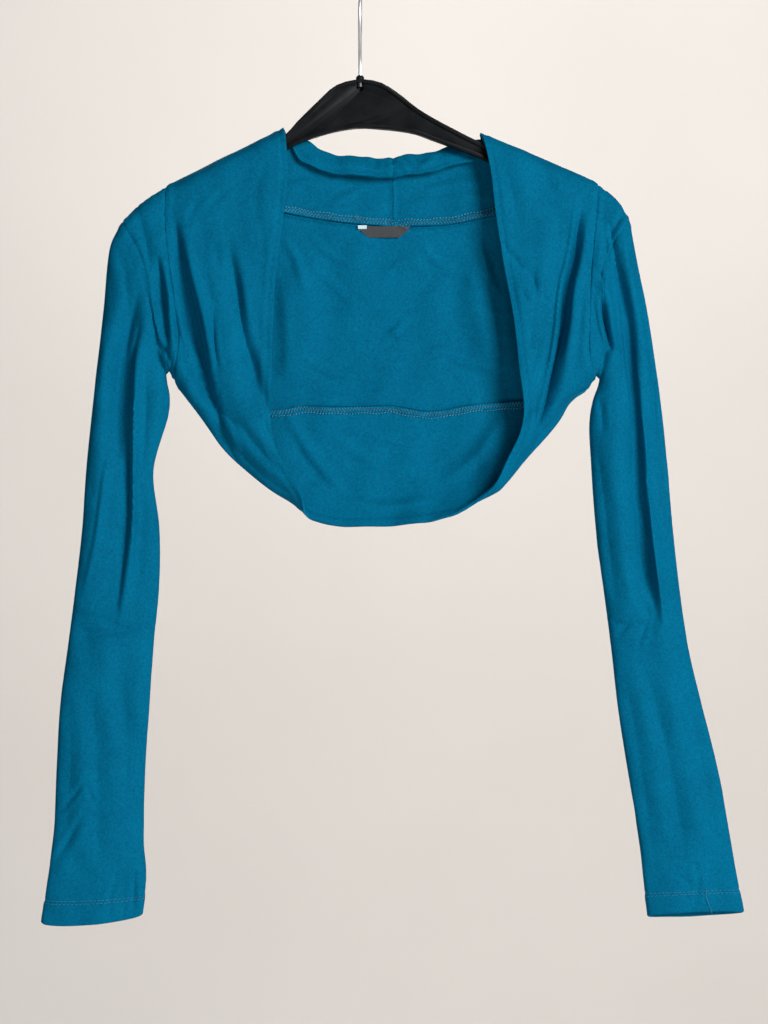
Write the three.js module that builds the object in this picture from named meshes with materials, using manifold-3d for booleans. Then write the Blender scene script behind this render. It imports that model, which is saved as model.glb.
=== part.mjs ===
// A bolero jacket hung on a clothes hanger. Millimetres, +Z up.
// +X is the wearer's left, -Y the front, +Y the back.
// The origin is the top of the inside of the hook, where a rail carries it.
//
// The jacket is a short back, two narrow fronts, two long sleeves and one doubled band
// that runs round the whole opening: collar, front edges and hem in one.
// Each piece of cloth is a thin wall over a grid of points. Pieces that are sewn
// together share the points of their seam, and sew() parts them by a hair.

import * as THREE from 'three';
import { mergeVertices } from 'three/addons/utils/BufferGeometryUtils.js';
import Module from 'manifold-3d';

const wasm = await Module();
wasm.setup();

// Driving sizes.

const SEAM_GAP = 0.3;          // between two pieces at their seam
const CORNER_GAP = 0.66;       // gap where three pieces meet at a corner
const JERSEY = 1.3;            // wall of one layer of jersey
const BAND = 2.4;              // wall of the doubled band
const LABEL = 0.8;             // wall of a label

const ARM_HALF = 7.5;          // from the hanger's middle to the cloth over its arms
const CREST_ROUND = 12;        // how far below a shoulder line the cloth is full again
const FRONT_DROP = 16;         // how far the front stands forward low down
const BACK_DROP = 18;          // how far the back stands behind low down
const SIDE_ROUND = 14;         // width over which the layers close at the side

const BAND_CROSS = 15;         // steps across the band
const ARMHOLE_STEPS = 12;      // steps down one side of an armhole
const SHOULDER_STEPS = 4;      // steps along a shoulder seam, and down a side seam
const CUFF_HEM = 18;           // height of the turned cuff
const CUFF_SAG = { right: { front: 4.5, back: 4 }, left: { front: -3, back: 2.5 } };

const HANGER_THICK = 8;        // over the raised rim
const HANGER_WEB = 4;          // thickness inside the rim
const HANGER_RIM = 3;          // width of the raised rim
const OUTLINE_STEPS = 64;      // steps along one edge of the hanger
const WIRE = 3;                // diameter of the hook's wire
const HOOK_INSIDE = 22;        // inner radius of the hook
const KNOB = { radius: 3.5, bottom: -76, top: -70 };  // the rounded boss that the wire enters
const BORE = WIRE / 2 + 0.3;
const SLOT = { half: 2.9, bottom: -84, top: -76.5, wall: 1.2 };  // the blind slot for its head

const LABEL_TOP = -196.6;      // where the labels leave the collar seam
const NECK_LABEL = { from: -1.7, to: 41.7, drop: 11, corner: 11, lift: 1.3 };
const CARE_LABEL = { from: -1, to: 40, drop: 3.4, lift: 0.4 };

// The cut, measured on the hung jacket.

// The shoulder line from the neck to the sleeve head: [x, z].
const SHOULDER = {
  right: [[-64.2, -116.7], [-160.8, -163.3], [-183.3, -178.3], [-198.3, -193.3]],
  left: [[101.7, -119.2], [197.1, -160.8], [215, -175.8], [224.2, -191.7]],
};

// The armhole seam from the shoulder to the armpit: [x, z].
const ARMHOLE = {
  right: [[-198.3, -193.3], [-184.2, -216.7], [-176.7, -239.2], [-173.3, -257.5],
    [-168.3, -282], [-161.5, -305], [-158.3, -316.5]],
  left: [[224.2, -191.7], [210, -213.3], [203.3, -236.7], [201.7, -257.5],
    [203.3, -280.8], [202, -303], [196.7, -320]],
};

// The band, a row for each section across it, from the nape round to the hem's centre.
// edge is its folded free edge and turn a point on the way: [x, y, z].
// seam is where it is sewn on: [x, z]. share is how far across the turn lies.
// steps is how many grid steps lead to the next row.
const BAND_ROWS = {
  right: [
    { edge: [27.5, 4, -154.2], turn: [27.5, 12, -138.4], seam: [27.5, -195.8], share: 0.28, steps: 3 },
    { edge: [-2.5, 4, -153.8], turn: [-4.2, 12, -138.5], seam: [-18.3, -191.7], share: 0.28, steps: 2 },
    { edge: [-31.7, 5, -148.8], turn: [-31.7, 12, -132.9], seam: [-62.5, -184.6], share: 0.28, steps: 2 },
    { edge: [-50, 6.5, -140], turn: [-49.2, 11.5, -123.3], seam: [-106.7, -175.8], share: 0.3, steps: 1 },
    { edge: [-59.5, 7.5, -122.5], turn: [-81.7, 8.5, -130], seam: [-155, -165.5], share: 0.4, steps: 2 },
    { edge: [-63.3, 0, -115], turn: [-110, 0, -138.3], seam: [-160.8, -163.3], share: 0.5, steps: 2 },
    { edge: [-62, -7.5, -121.5], turn: [-110, -7.5, -144.5], seam: [-161.1, -171.7], share: 0.5, steps: 1 },
    { edge: [-60, -9.5, -150.8], turn: [-110, -9.5, -164.2], seam: [-161.7, -184.2], share: 0.5, steps: 2 },
    { edge: [-63.3, -10.5, -186.7], turn: [-111.7, -11, -194.2], seam: [-161, -202.5], share: 0.5, steps: 2 },
    { edge: [-69.2, -12, -230.8], turn: [-115, -13, -229.2], seam: [-157.9, -230.8], share: 0.5, steps: 2 },
    { edge: [-71.7, -14, -272.5], turn: [-115, -15, -267.5], seam: [-153.3, -261.7], share: 0.5, steps: 2 },
    { edge: [-73.3, -16, -317.5], turn: [-115, -18, -311.7], seam: [-150, -295], share: 0.5, steps: 1 },
    { edge: [-74.2, -17, -355.8], turn: [-122.5, -14, -350.8], seam: [-151.7, -328.3], share: 0.5, steps: 3 },
    { edge: [-70, -17, -380.8], turn: [-117.5, 0, -375], seam: [-126.7, -337.5], share: 0.55, steps: 2 },
    { edge: [-60, -16, -400], turn: [-90, 0, -402.5], seam: [-97.5, -344.2], share: 0.45, steps: 2 },
    { edge: [-48.3, -13, -420], turn: [-64.2, 0, -421.2], seam: [-69.2, -348.3], share: 0.3, steps: 2 },
    { edge: [-43.5, -2, -437.5], turn: [-47, 8, -427], seam: [-47.5, -345], share: 0.28, steps: 2 },
    { edge: [-16.7, 2, -445.8], turn: [-16.7, 13, -421.7], seam: [-20.8, -345.4], share: 0.28, steps: 3 },
    { edge: [27.5, 3, -445], turn: [27.5, 14, -421.7], seam: [27.5, -344.6], share: 0.28, steps: 0 },
  ],
  left: [
    { edge: [27.5, 4, -154.2], turn: [27.5, 12, -138.4], seam: [27.5, -195.8], share: 0.28, steps: 3 },
    { edge: [56.7, 4, -150.4], turn: [58.3, 12, -134.1], seam: [73.3, -193.8], share: 0.28, steps: 2 },
    { edge: [85.8, 5, -142.9], turn: [85, 12, -127], seam: [114.2, -185.8], share: 0.28, steps: 2 },
    { edge: [101.7, 7, -137.5], turn: [101.7, 10.5, -124.2], seam: [150.8, -176.7], share: 0.3, steps: 1 },
    { edge: [101.5, 7.5, -126.5], turn: [120.8, 8.5, -135], seam: [183.3, -167.5], share: 0.4, steps: 2 },
    { edge: [100, 0, -119.2], turn: [148.3, 0, -139.2], seam: [197.1, -160.8], share: 0.5, steps: 2 },
    { edge: [103, -7.5, -126], turn: [148, -7.5, -145.7], seam: [197.1, -169.2], share: 0.5, steps: 1 },
    { edge: [108.3, -9.5, -149.2], turn: [148.3, -9.5, -164.2], seam: [196.7, -180.8], share: 0.5, steps: 2 },
    { edge: [112.9, -10.5, -186.7], turn: [150, -11, -192.5], seam: [195, -199.2], share: 0.5, steps: 2 },
    { edge: [119.2, -12, -228.3], turn: [154.2, -13, -229.2], seam: [192.5, -229.2], share: 0.5, steps: 2 },
    { edge: [127.5, -14, -272.5], turn: [158.3, -15, -270.8], seam: [190.4, -261.7], share: 0.5, steps: 2 },
    { edge: [132.5, -16, -315.8], turn: [160.8, -18, -309.2], seam: [189.5, -295], share: 0.5, steps: 1 },
    { edge: [135.8, -17, -353.3], turn: [163.3, -14, -342.5], seam: [190.5, -330], share: 0.5, steps: 3 },
    { edge: [131.7, -17, -370.8], turn: [167.5, 0, -353.3], seam: [169.2, -337.5], share: 0.55, steps: 2 },
    { edge: [122.5, -16, -389.2], turn: [139.2, 0, -387.5], seam: [141.7, -340.8], share: 0.45, steps: 2 },
    { edge: [109.5, -13, -412.5], turn: [112.5, -3, -417], seam: [116.7, -342.5], share: 0.25, steps: 2 },
    { edge: [86.5, -6, -432], turn: [93, 7, -420], seam: [89.2, -344.6], share: 0.28, steps: 2 },
    { edge: [60, -1, -441.7], turn: [60, 13, -419.2], seam: [60, -349.2], share: 0.28, steps: 3 },
    { edge: [27.5, 3, -445], turn: [27.5, 14, -421.7], seam: [27.5, -344.6], share: 0.28, steps: 0 },
  ],
};
const SHOULDER_ROW = 5;        // where the band crosses the shoulder seam
const SIDE_ROW = 12;           // where it crosses the side seam

// The sleeves, a row for each ring below the armhole. outer and inner are the ring's
// two ends: [x, z]. front and back are its depths, bow its sag towards the body.
// steps is how many grid steps lead to this row from the one above.
const SLEEVE_ROWS = {
  right: [
    { outer: [-207.3, -213], inner: [-162, -319], front: 12, back: 13, bow: 3, steps: 2 },
    { outer: [-213.3, -267.5], inner: [-161.2, -326.5], front: 12, back: 13, bow: 1, steps: 2 },
    { outer: [-218.3, -314.2], inner: [-159, -337], front: 12, back: 13, bow: 0, steps: 2 },
    { outer: [-222.5, -350.8], inner: [-159.8, -352], front: 12, back: 13, bow: 0, steps: 2 },
    { outer: [-227.5, -399.2], inner: [-172.5, -399.2], front: 11, back: 13, bow: 0, steps: 2 },
    { outer: [-230.8, -447.5], inner: [-167.5, -447.5], front: 12, back: 12, bow: 0, steps: 2 },
    { outer: [-236.7, -499.2], inner: [-167.9, -499.2], front: 12, back: 12, bow: 0, steps: 2 },
    { outer: [-242.1, -540.8], inner: [-172.1, -540.8], front: 11, back: 12, bow: 0, steps: 3 },
    { outer: [-249.2, -595], inner: [-175.8, -595], front: 10, back: 12, bow: 0, steps: 2 },
    { outer: [-252.1, -645], inner: [-179.2, -645], front: 10, back: 11, bow: 0, steps: 2 },
    { outer: [-255, -707.5], inner: [-180.8, -707.5], front: 9, back: 10, bow: 0, steps: 2 },
    { outer: [-260, -742.5], inner: [-179.2, -740.8], front: 8, back: 9, bow: 0, steps: 1 },
    { outer: [-265, -775], inner: [-181.7, -767.5], front: 8, back: 9, bow: 0, steps: 1 },
  ],
  left: [
    { outer: [230.8, -227.5], inner: [200.5, -323.5], front: 12, back: 13, bow: 3, steps: 2 },
    { outer: [238.3, -264.2], inner: [198.8, -330], front: 12, back: 13, bow: 1, steps: 2 },
    { outer: [245.8, -312.5], inner: [194.6, -341], front: 12, back: 13, bow: 0, steps: 2 },
    { outer: [251.7, -357.5], inner: [191.6, -358.5], front: 12, back: 13, bow: 0, steps: 2 },
    { outer: [255.8, -399.2], inner: [193.3, -399.2], front: 12, back: 13, bow: 0, steps: 2 },
    { outer: [260, -447.5], inner: [196.7, -447.5], front: 12, back: 12, bow: 0, steps: 2 },
    { outer: [265.8, -499.2], inner: [203.3, -499.2], front: 12, back: 12, bow: 0, steps: 2 },
    { outer: [272.5, -545], inner: [209.2, -545], front: 11, back: 12, bow: 0, steps: 3 },
    { outer: [284.2, -595], inner: [215, -595], front: 10, back: 12, bow: 0, steps: 2 },
    { outer: [296.7, -645], inner: [222.5, -645], front: 10, back: 11, bow: 0, steps: 2 },
    { outer: [308.3, -707.5], inner: [233.3, -707.5], front: 9, back: 10, bow: 0, steps: 2 },
    { outer: [312.5, -732.5], inner: [235.8, -735.8], front: 8, back: 9, bow: 0, steps: 1 },
    { outer: [318.3, -766.7], inner: [240, -770], front: 8, back: 9, bow: 0, steps: 1 },
  ],
};

// The folds, a row each: a soft trough along a line that bows sideways.
// part says which pieces it lies on, layer which side of them.
const FOLDS = [
  { part: 'body', layer: 'front', from: [-150, -215.8], to: [-100, -382.5], bow: -7.3, depth: 8, width: 8 },
  { part: 'body', layer: 'front', from: [-156.7, -257.5], to: [-130, -330.8], bow: -1.7, depth: 4, width: 5 },
  { part: 'body', layer: 'front', from: [-106.7, -215.8], to: [-81.7, -340.8], bow: 0, depth: 4, width: 9 },
  { part: 'body', layer: 'front', from: [180.8, -178.3], to: [144.2, -374.2], bow: 3.3, depth: 9, width: 9 },
  { part: 'body', layer: 'front', from: [138.3, -230.8], to: [147.5, -250.8], bow: 0, depth: 2, width: 5 },
  { part: 'body', layer: 'back', from: [-91.7, -207.5], to: [-112.5, -324.2], bow: 3.3, depth: 5, width: 12 },
  { part: 'body', layer: 'back', from: [-50, -215.8], to: [-58.3, -332.5], bow: 0, depth: 3, width: 12 },
  { part: 'body', layer: 'back', from: [91.7, -203.3], to: [116.7, -328.3], bow: -3.3, depth: 5, width: 12 },
  { part: 'body', layer: 'back', from: [150, -199.2], to: [170.8, -315.8], bow: 0, depth: 4, width: 10 },
  { part: 'sleeve', layer: 'front', from: [-178, -222], to: [-166.7, -306], bow: 3.3, depth: 5, width: 6 },
  { part: 'sleeve', layer: 'front', from: [-190, -257], to: [-203, -399], bow: -3.3, depth: 5, width: 8 },
  { part: 'sleeve', layer: 'front', from: [209, -209], to: [237.5, -516], bow: 9.7, depth: 9, width: 8 },
  { part: 'sleeve', layer: 'front', from: [-242, -536], to: [-171, -527.5], bow: 0, depth: 2, width: 9 },
  { part: 'sleeve', layer: 'front', from: [206.7, -531], to: [252, -531], bow: 0, depth: 2, width: 9 },
  { part: 'sleeve', layer: 'back', from: [-200, -257.5], to: [-206.7, -407.5], bow: 3.3, depth: 5, width: 9 },
  { part: 'sleeve', layer: 'back', from: [233.3, -249.2], to: [225, -424.2], bow: -2.5, depth: 6, width: 9 },
  { part: 'sleeve', layer: 'back', from: [-237.5, -530.8], to: [-175, -535.8], bow: 0, depth: 2, width: 9 },
  { part: 'sleeve', layer: 'back', from: [210, -535.8], to: [266.7, -540.8], bow: 0, depth: 2, width: 9 },
];

// The hanger's outline, a row for each station along it.
const HANGER_ROWS = [
  { x: -193, top: -196, bottom: -208 },
  { x: -183, top: -185, bottom: -206 },
  { x: -160, top: -171, bottom: -191 },
  { x: -110, top: -146.5, bottom: -165 },
  { x: -67, top: -124.5, bottom: -136 },
  { x: -50, top: -107, bottom: -126.5 },
  { x: -36, top: -93.5, bottom: -121.7 },
  { x: -20, top: -79.2, bottom: -117.2 },
  { x: 0, top: -74.2, bottom: -114.4 },
  { x: 17, top: -76.7, bottom: -115.3 },
  { x: 33, top: -86.5, bottom: -117 },
  { x: 46.7, top: -97.5, bottom: -119.5 },
  { x: 60, top: -105.8, bottom: -124.5 },
  { x: 80, top: -116.5, bottom: -131.7 },
  { x: 100, top: -126.5, bottom: -139.5 },
  { x: 150, top: -148, bottom: -165 },
  { x: 197, top: -169.5, bottom: -189 },
  { x: 213, top: -180, bottom: -201 },
  { x: 219, top: -192, bottom: -203 },
];

// Materials.

const finish = (color, roughness, metalness) =>
  new THREE.MeshStandardMaterial({ color, roughness, metalness });
const jersey = () => finish(0x067d9c, 0.82, 0);
const LABEL_GREY = finish(0x3a3f46, 0.8, 0);
const LABEL_WHITE = finish(0xcfe3ea, 0.8, 0);
const PLASTIC = finish(0x15171a, 0.42, 0);
const CHROME = finish(0xc8ccd0, 0.22, 1);

// Small helpers.

const point = (x, y, z) => new THREE.Vector3(x, y, z);
const clamp = THREE.MathUtils.clamp;
const smooth = THREE.MathUtils.smoothstep;

// A quarter-circle rise: 0 at the rim, 1 once d reaches the radius.
function rounded(d, radius) {
  const share = clamp(d / radius, 0, 1);
  return Math.sqrt(1 - (1 - share) ** 2);
}

// Height of a line of [x, z] points at x, carried on past its ends.
function heightOnLine(line, x) {
  const side = Math.sign(line[1][0] - line[0][0]);
  let k = 0;
  while (k < line.length - 2 && (x - line[k + 1][0]) * side > 0) {
    k += 1;
  }
  const [x0, z0] = line[k];
  const [x1, z1] = line[k + 1];
  return z0 + ((z1 - z0) * (x - x0)) / (x1 - x0);
}

function distanceToSegment(x, z, a, b) {
  const dx = b[0] - a[0];
  const dz = b[1] - a[1];
  const share = clamp(((x - a[0]) * dx + (z - a[1]) * dz) / (dx * dx + dz * dz), 0, 1);
  return Math.hypot(x - a[0] - share * dx, z - a[1] - share * dz);
}

// Points evenly spaced along a smooth line of [x, z] points, at the given shares.
function alongLine(line, shares) {
  const curve = new THREE.CatmullRomCurve3(line.map(([x, z]) => point(x, 0, z)), false, 'centripetal');
  return shares.map((share) => {
    const p = curve.getPointAt(share);
    return [p.x, p.z];
  });
}

const evenShares = (steps) => Array.from({ length: steps + 1 }, (_, k) => k / steps);
const endShares = (steps) => evenShares(steps).map((s) => (1 - Math.cos(Math.PI * s)) / 2);

// The two layers of the hung body.

const SIDE_SEAM = {
  right: [ARMHOLE.right.at(-1), BAND_ROWS.right[SIDE_ROW].seam],
  left: [ARMHOLE.left.at(-1), BAND_ROWS.left[SIDE_ROW].seam],
};

// How far a layer stands from the hanger's plane at [x, z]: it is full in the middle
// and closes in a round at the shoulder line and at the side seams.
function layerDepth(x, z, layer) {
  const crest = Math.min(heightOnLine(SHOULDER.right, x), heightOnLine(SHOULDER.left, x));
  const low = layer === 'front' ? smooth(-z, 170, 330) : smooth(-z, 165, 225);
  const full = ARM_HALF + low * ((layer === 'front' ? FRONT_DROP : BACK_DROP) - ARM_HALF);
  const atSide = Math.min(
    distanceToSegment(x, z, ...SIDE_SEAM.right),
    distanceToSegment(x, z, ...SIDE_SEAM.left),
  );
  return full * rounded(crest - z, CREST_ROUND) * rounded(atSide, SIDE_ROUND);
}

// How deep the folds of a layer are at [x, z].
function foldDepth(x, z, part, layer) {
  let depth = 0;
  for (const fold of FOLDS) {
    if (fold.part === part && fold.layer === layer) {
      const dx = fold.to[0] - fold.from[0];
      const dz = fold.to[1] - fold.from[1];
      const length = Math.hypot(dx, dz);
      const along = ((x - fold.from[0]) * dx + (z - fold.from[1]) * dz) / length ** 2;
      const aside = ((x - fold.from[0]) * dz - (z - fold.from[1]) * dx) / length;
      if (along > 0 && along < 1) {
        const off = aside * Math.sign(-dz || 1) + fold.bow * 4 * along * (1 - along);
        const fade = smooth(along, 0, 0.25) * smooth(1 - along, 0, 0.25);
        depth += fold.depth * fade * Math.exp(-((off / fold.width) ** 2));
      }
    }
  }
  return depth;
}

// A point of a panel: y follows from the layer that it lies on.
function onLayer([x, z], layer) {
  const depth = layerDepth(x, z, layer);
  const y = Math.max(depth - foldDepth(x, z, 'body', layer) * Math.min(depth / ARM_HALF, 1), 0);
  return point(x, layer === 'front' ? -y : y, z);
}

// Grids.

// The band: rows of points from its folded edge to its seam.
function bandGrid(side) {
  const rows = BAND_ROWS[side];
  const curveOf = (points) => new THREE.CatmullRomCurve3(points, false, 'centripetal');
  const edge = curveOf(rows.map((row) => point(...row.edge)));
  const turn = curveOf(rows.map((row) => point(...row.turn)));
  const seam = curveOf(rows.map((row) => point(row.seam[0], 0, row.seam[1])));
  const grid = [];
  rows.forEach((row, k) => {
    const last = k === rows.length - 1;
    for (let step = 0; step < (last ? 1 : row.steps); step += 1) {
      const local = last ? 0 : step / row.steps;
      const t = (k + local) / (rows.length - 1);
      const layer = k + local < SHOULDER_ROW || k + local > SIDE_ROW ? 'back' : 'front';
      const sewn = seam.getPoint(t);
      const a = edge.getPoint(t);
      const b = turn.getPoint(t);
      const c = onLayer([sewn.x, sewn.z], layer);
      const share = last ? row.share : row.share + (rows[k + 1].share - row.share) * local;
      grid.push(evenShares(BAND_CROSS).map((v) => bandPoint(a, b, c, share, v)));
    }
  });
  return grid;
}

// One point of a section across the band: a smooth arc from a through b to c, with the
// front layer's folds pressed into it.
function bandPoint(a, b, c, share, v) {
  const wa = ((v - share) * (v - 1)) / share;
  const wb = (v * (v - 1)) / (share * (share - 1));
  const wc = (v * (v - share)) / (1 - share);
  const p = point(
    wa * a.x + wb * b.x + wc * c.x,
    wa * a.y + wb * b.y + wc * c.y,
    wa * a.z + wb * b.z + wc * c.z,
  );
  const inside = smooth(v, 0, 0.15) * smooth(1 - v, 0, 0.12);
  if (p.y < 0) {
    p.y = Math.min(p.y + inside * foldDepth(p.x, p.z, 'body', 'front') * Math.min(-p.y / ARM_HALF, 1), 0);
  } else {
    p.y = Math.max(p.y - inside * foldDepth(p.x, p.z, 'body', 'back') * Math.min(p.y / ARM_HALF, 1), 0);
  }
  return p;
}

// A panel filled in between four rows of [x, z] points, then laid on its layer.
function panelGrid(top, bottom, start, end, layer) {
  const columns = top.length - 1;
  const rows = start.length - 1;
  return start.map((_, j) => top.map((__, i) => {
    const u = i / columns;
    const v = j / rows;
    const fill = (k) => (1 - v) * top[i][k] + v * bottom[i][k]
      + (1 - u) * start[j][k] + u * end[j][k]
      - (1 - u) * (1 - v) * top[0][k] - u * (1 - v) * top[columns][k]
      - (1 - u) * v * bottom[0][k] - u * v * bottom[columns][k];
    return onLayer([fill(0), fill(1)], layer);
  }));
}

// The seam points of a side, as [x, z] rows that the pieces beside a seam share.
function seamsOf(side) {
  const rows = BAND_ROWS[side];
  const curve = new THREE.CatmullRomCurve3(
    rows.map((row) => point(row.seam[0], 0, row.seam[1])), false, 'centripetal',
  );
  const stretch = (first, last) => {
    const points = [];
    for (let k = first; k < last; k += 1) {
      for (let step = 0; step < rows[k].steps; step += 1) {
        points.push(curve.getPoint((k + step / rows[k].steps) / (rows.length - 1)));
      }
    }
    points.push(curve.getPoint(last / (rows.length - 1)));
    return points.map((p) => [p.x, p.z]);
  };
  return {
    collar: stretch(0, SHOULDER_ROW),
    front: stretch(SHOULDER_ROW, SIDE_ROW),
    hem: stretch(SIDE_ROW, rows.length - 1),
    shoulder: alongLine(SHOULDER[side].slice(1), evenShares(SHOULDER_STEPS)),
    armhole: alongLine(ARMHOLE[side], endShares(ARMHOLE_STEPS)),
    side: alongLine(SIDE_SEAM[side], evenShares(SHOULDER_STEPS)),
  };
}

// One ring of a sleeve, sagging at its middle by sag.front and sag.back.
function sleeveRing(row, sag) {
  const around = 2 * ARMHOLE_STEPS;
  return Array.from({ length: around }, (_, k) => {
    const angle = (2 * Math.PI * k) / around;
    const across = (1 - Math.cos(angle)) / 2;
    const reach = Math.abs(Math.sin(angle));
    const facing = angle < Math.PI ? 'front' : 'back';
    const bow = row.bow * reach * Math.sign(row.inner[0] - row.outer[0]);
    const x = row.outer[0] + across * (row.inner[0] - row.outer[0]) + bow;
    const z = row.outer[1] + across * (row.inner[1] - row.outer[1]) - sag[facing] * reach;
    return point(x, (facing === 'front' ? -row.front : row.back) * reach ** 0.8, z);
  });
}

// A sleeve: rings of points from the armhole to the cuff. A ring starts at its outer
// end and runs over the front to its inner end and back behind.
function sleeveGrid(side, armhole) {
  const rows = SLEEVE_ROWS[side];
  const last = rows.length - 1;
  const front = armhole.map((p) => onLayer(p, 'front'));
  const back = armhole.map((p) => onLayer(p, 'back')).reverse();
  const level = { front: 0, back: 0 };
  const rings = [
    [...front, ...back.slice(1, -1)],
    ...rows.map((row, k) => sleeveRing(row, k === last ? CUFF_SAG[side] : level)),
  ];
  const hemTop = 1 - CUFF_HEM / (rows[last - 1].outer[1] - rows[last].outer[1]);
  const places = [0];
  rows.forEach((row, k) => {
    const shares = k === last ? [hemTop - 0.04, hemTop, 1] : evenShares(row.steps).slice(1);
    shares.forEach((share) => places.push((k + share) / rows.length));
  });
  const lines = rings[0].map((_, k) =>
    new THREE.CatmullRomCurve3(rings.map((ring) => ring[k]), false, 'centripetal'));
  return places.map((place, j) => lines.map((line, k) => {
    const p = line.getPoint(place);
    if (j > 0) {
      const reach = Math.abs(Math.sin((Math.PI * k) / ARMHOLE_STEPS)) ** 0.5;
      const pressed = reach * foldDepth(p.x, p.z, 'sleeve', p.y < 0 ? 'front' : 'back');
      p.y -= Math.sign(p.y) * Math.min(pressed, Math.abs(p.y) - 1.5 * reach);
    }
    return p;
  }));
}

// Walls.

// A piece of cloth: its grid with the outward direction at each point.
// flip turns the direction round; ring joins the last column to the first.
function cloth(name, grid, { flip = false, ring = false }) {
  const rows = grid.length;
  const columns = grid[0].length;
  const at = (j, i) => grid[clamp(j, 0, rows - 1)][ring ? (i + columns) % columns : clamp(i, 0, columns - 1)];
  const normals = grid.map((row, j) => row.map((_, i) => {
    const across = at(j, i + 1).clone().sub(at(j, i - 1));
    const down = at(j + 1, i).clone().sub(at(j - 1, i));
    return across.cross(down).multiplyScalar(flip ? -1 : 1).normalize();
  }));
  return { name, grid, normals, ring, at };
}

// One key for points that lie together, within a few hundredths.
const keyOf = (p) => [p.x, p.y, p.z].map((c) => Math.round(c * 20 + 0.37)).join(' ');

// Parts the pieces at their seams: all that meet at a point take the same outward
// direction there, and each draws back from the others.
function sew(pieces) {
  const meetings = new Map();
  for (const piece of pieces) {
    const rows = piece.grid.length;
    const columns = piece.grid[0].length;
    piece.grid.forEach((row, j) => row.forEach((p, i) => {
      const rim = j === 0 || j === rows - 1 || (!piece.ring && (i === 0 || i === columns - 1));
      if (rim) {
        const inward = piece.at(j === 0 ? 1 : j === rows - 1 ? j - 1 : j,
          piece.ring ? i : i === 0 ? 1 : i === columns - 1 ? i - 1 : i).clone().sub(p).normalize();
        const entry = { piece, i, j, inward, normal: piece.normals[j][i].clone() };
        const key = keyOf(p);
        meetings.set(key, [...(meetings.get(key) ?? []), entry]);
      }
    }));
  }
  const moves = [];
  for (const entries of meetings.values()) {
    const owners = new Set(entries.map((entry) => entry.piece));
    if (owners.size > 1) {
      const shared = entries.reduce((sum, entry) => sum.add(entry.normal), point(0, 0, 0)).normalize();
      for (const entry of entries) {
        const others = entries.filter((other) => other.piece !== entry.piece);
        const away = entry.inward.clone();
        others.forEach((other) => away.addScaledVector(other.inward, -1 / others.length));
        away.addScaledVector(shared, -away.dot(shared)).normalize();
        moves.push({ entry, away, shared, gap: owners.size > 2 ? CORNER_GAP : SEAM_GAP });
      }
    }
  }
  for (const { entry, away, shared, gap } of moves) {
    entry.piece.grid[entry.j][entry.i] = entry.piece.grid[entry.j][entry.i].clone()
      .addScaledVector(away, gap / 2 + 0.05);
    entry.piece.normals[entry.j][entry.i] = shared;
  }
}

// The closed wall of a piece. inner gives how far the inside lies behind the grid.
function wall(piece, outer, inner) {
  const { grid, normals, ring } = piece;
  const rows = grid.length;
  const columns = grid[0].length;
  const positions = [];
  for (const sign of [1, -1]) {
    grid.forEach((row, j) => row.forEach((p, i) => {
      const distance = sign > 0 ? outer : -(typeof inner === 'function' ? inner(j) : inner);
      const q = p.clone().addScaledVector(normals[j][i], distance);
      positions.push(q.x, q.y, q.z);
    }));
  }
  const index = [];
  const inside = rows * columns;
  const id = (j, i) => j * columns + (i % columns);
  const quad = (a, b, c, d) => index.push(a, b, c, a, c, d);
  const spans = ring ? columns : columns - 1;
  for (let j = 0; j < rows - 1; j += 1) {
    for (let i = 0; i < spans; i += 1) {
      quad(id(j, i), id(j, i + 1), id(j + 1, i + 1), id(j + 1, i));
      quad(inside + id(j, i), inside + id(j + 1, i), inside + id(j + 1, i + 1), inside + id(j, i + 1));
    }
  }
  for (let i = 0; i < spans; i += 1) {
    quad(id(0, i), inside + id(0, i), inside + id(0, i + 1), id(0, i + 1));
    quad(id(rows - 1, i), id(rows - 1, i + 1), inside + id(rows - 1, i + 1), inside + id(rows - 1, i));
  }
  if (!ring) {
    for (let j = 0; j < rows - 1; j += 1) {
      quad(id(j, 0), id(j + 1, 0), inside + id(j + 1, 0), inside + id(j, 0));
      quad(id(j, columns - 1), inside + id(j, columns - 1), inside + id(j + 1, columns - 1),
        id(j + 1, columns - 1));
    }
  }
  return facingOut(positions, index);
}

// A geometry whose faces point out, whichever way its grid ran.
function facingOut(positions, index) {
  let volume = 0;
  const corner = (k) => point(...positions.slice(3 * k, 3 * k + 3));
  for (let k = 0; k < index.length; k += 3) {
    volume += corner(index[k]).dot(corner(index[k + 1]).cross(corner(index[k + 2])));
  }
  const turned = [];
  for (let k = 0; k < index.length; k += 3) {
    turned.push(index[k], index[k + (volume > 0 ? 1 : 2)], index[k + (volume > 0 ? 2 : 1)]);
  }
  const geometry = new THREE.BufferGeometry();
  geometry.setAttribute('position', new THREE.Float32BufferAttribute(positions, 3));
  geometry.setIndex(turned);
  geometry.computeVertexNormals();
  return geometry;
}

// Hard pieces.

function solidOf(geometry) {
  const bare = geometry.clone();
  bare.deleteAttribute('normal');
  bare.deleteAttribute('uv');
  const merged = mergeVertices(bare, 1e-4);
  return new wasm.Manifold(new wasm.Mesh({
    numProp: 3,
    vertProperties: new Float32Array(merged.attributes.position.array),
    triVerts: new Uint32Array(merged.index.array),
  }));
}

function geometryOf(solid) {
  const mesh = solid.getMesh();
  const geometry = new THREE.BufferGeometry();
  geometry.setAttribute('position', new THREE.Float32BufferAttribute(mesh.vertProperties, 3));
  geometry.setIndex(new THREE.Uint32BufferAttribute(mesh.triVerts, 1));
  geometry.computeVertexNormals();
  return geometry;
}

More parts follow.
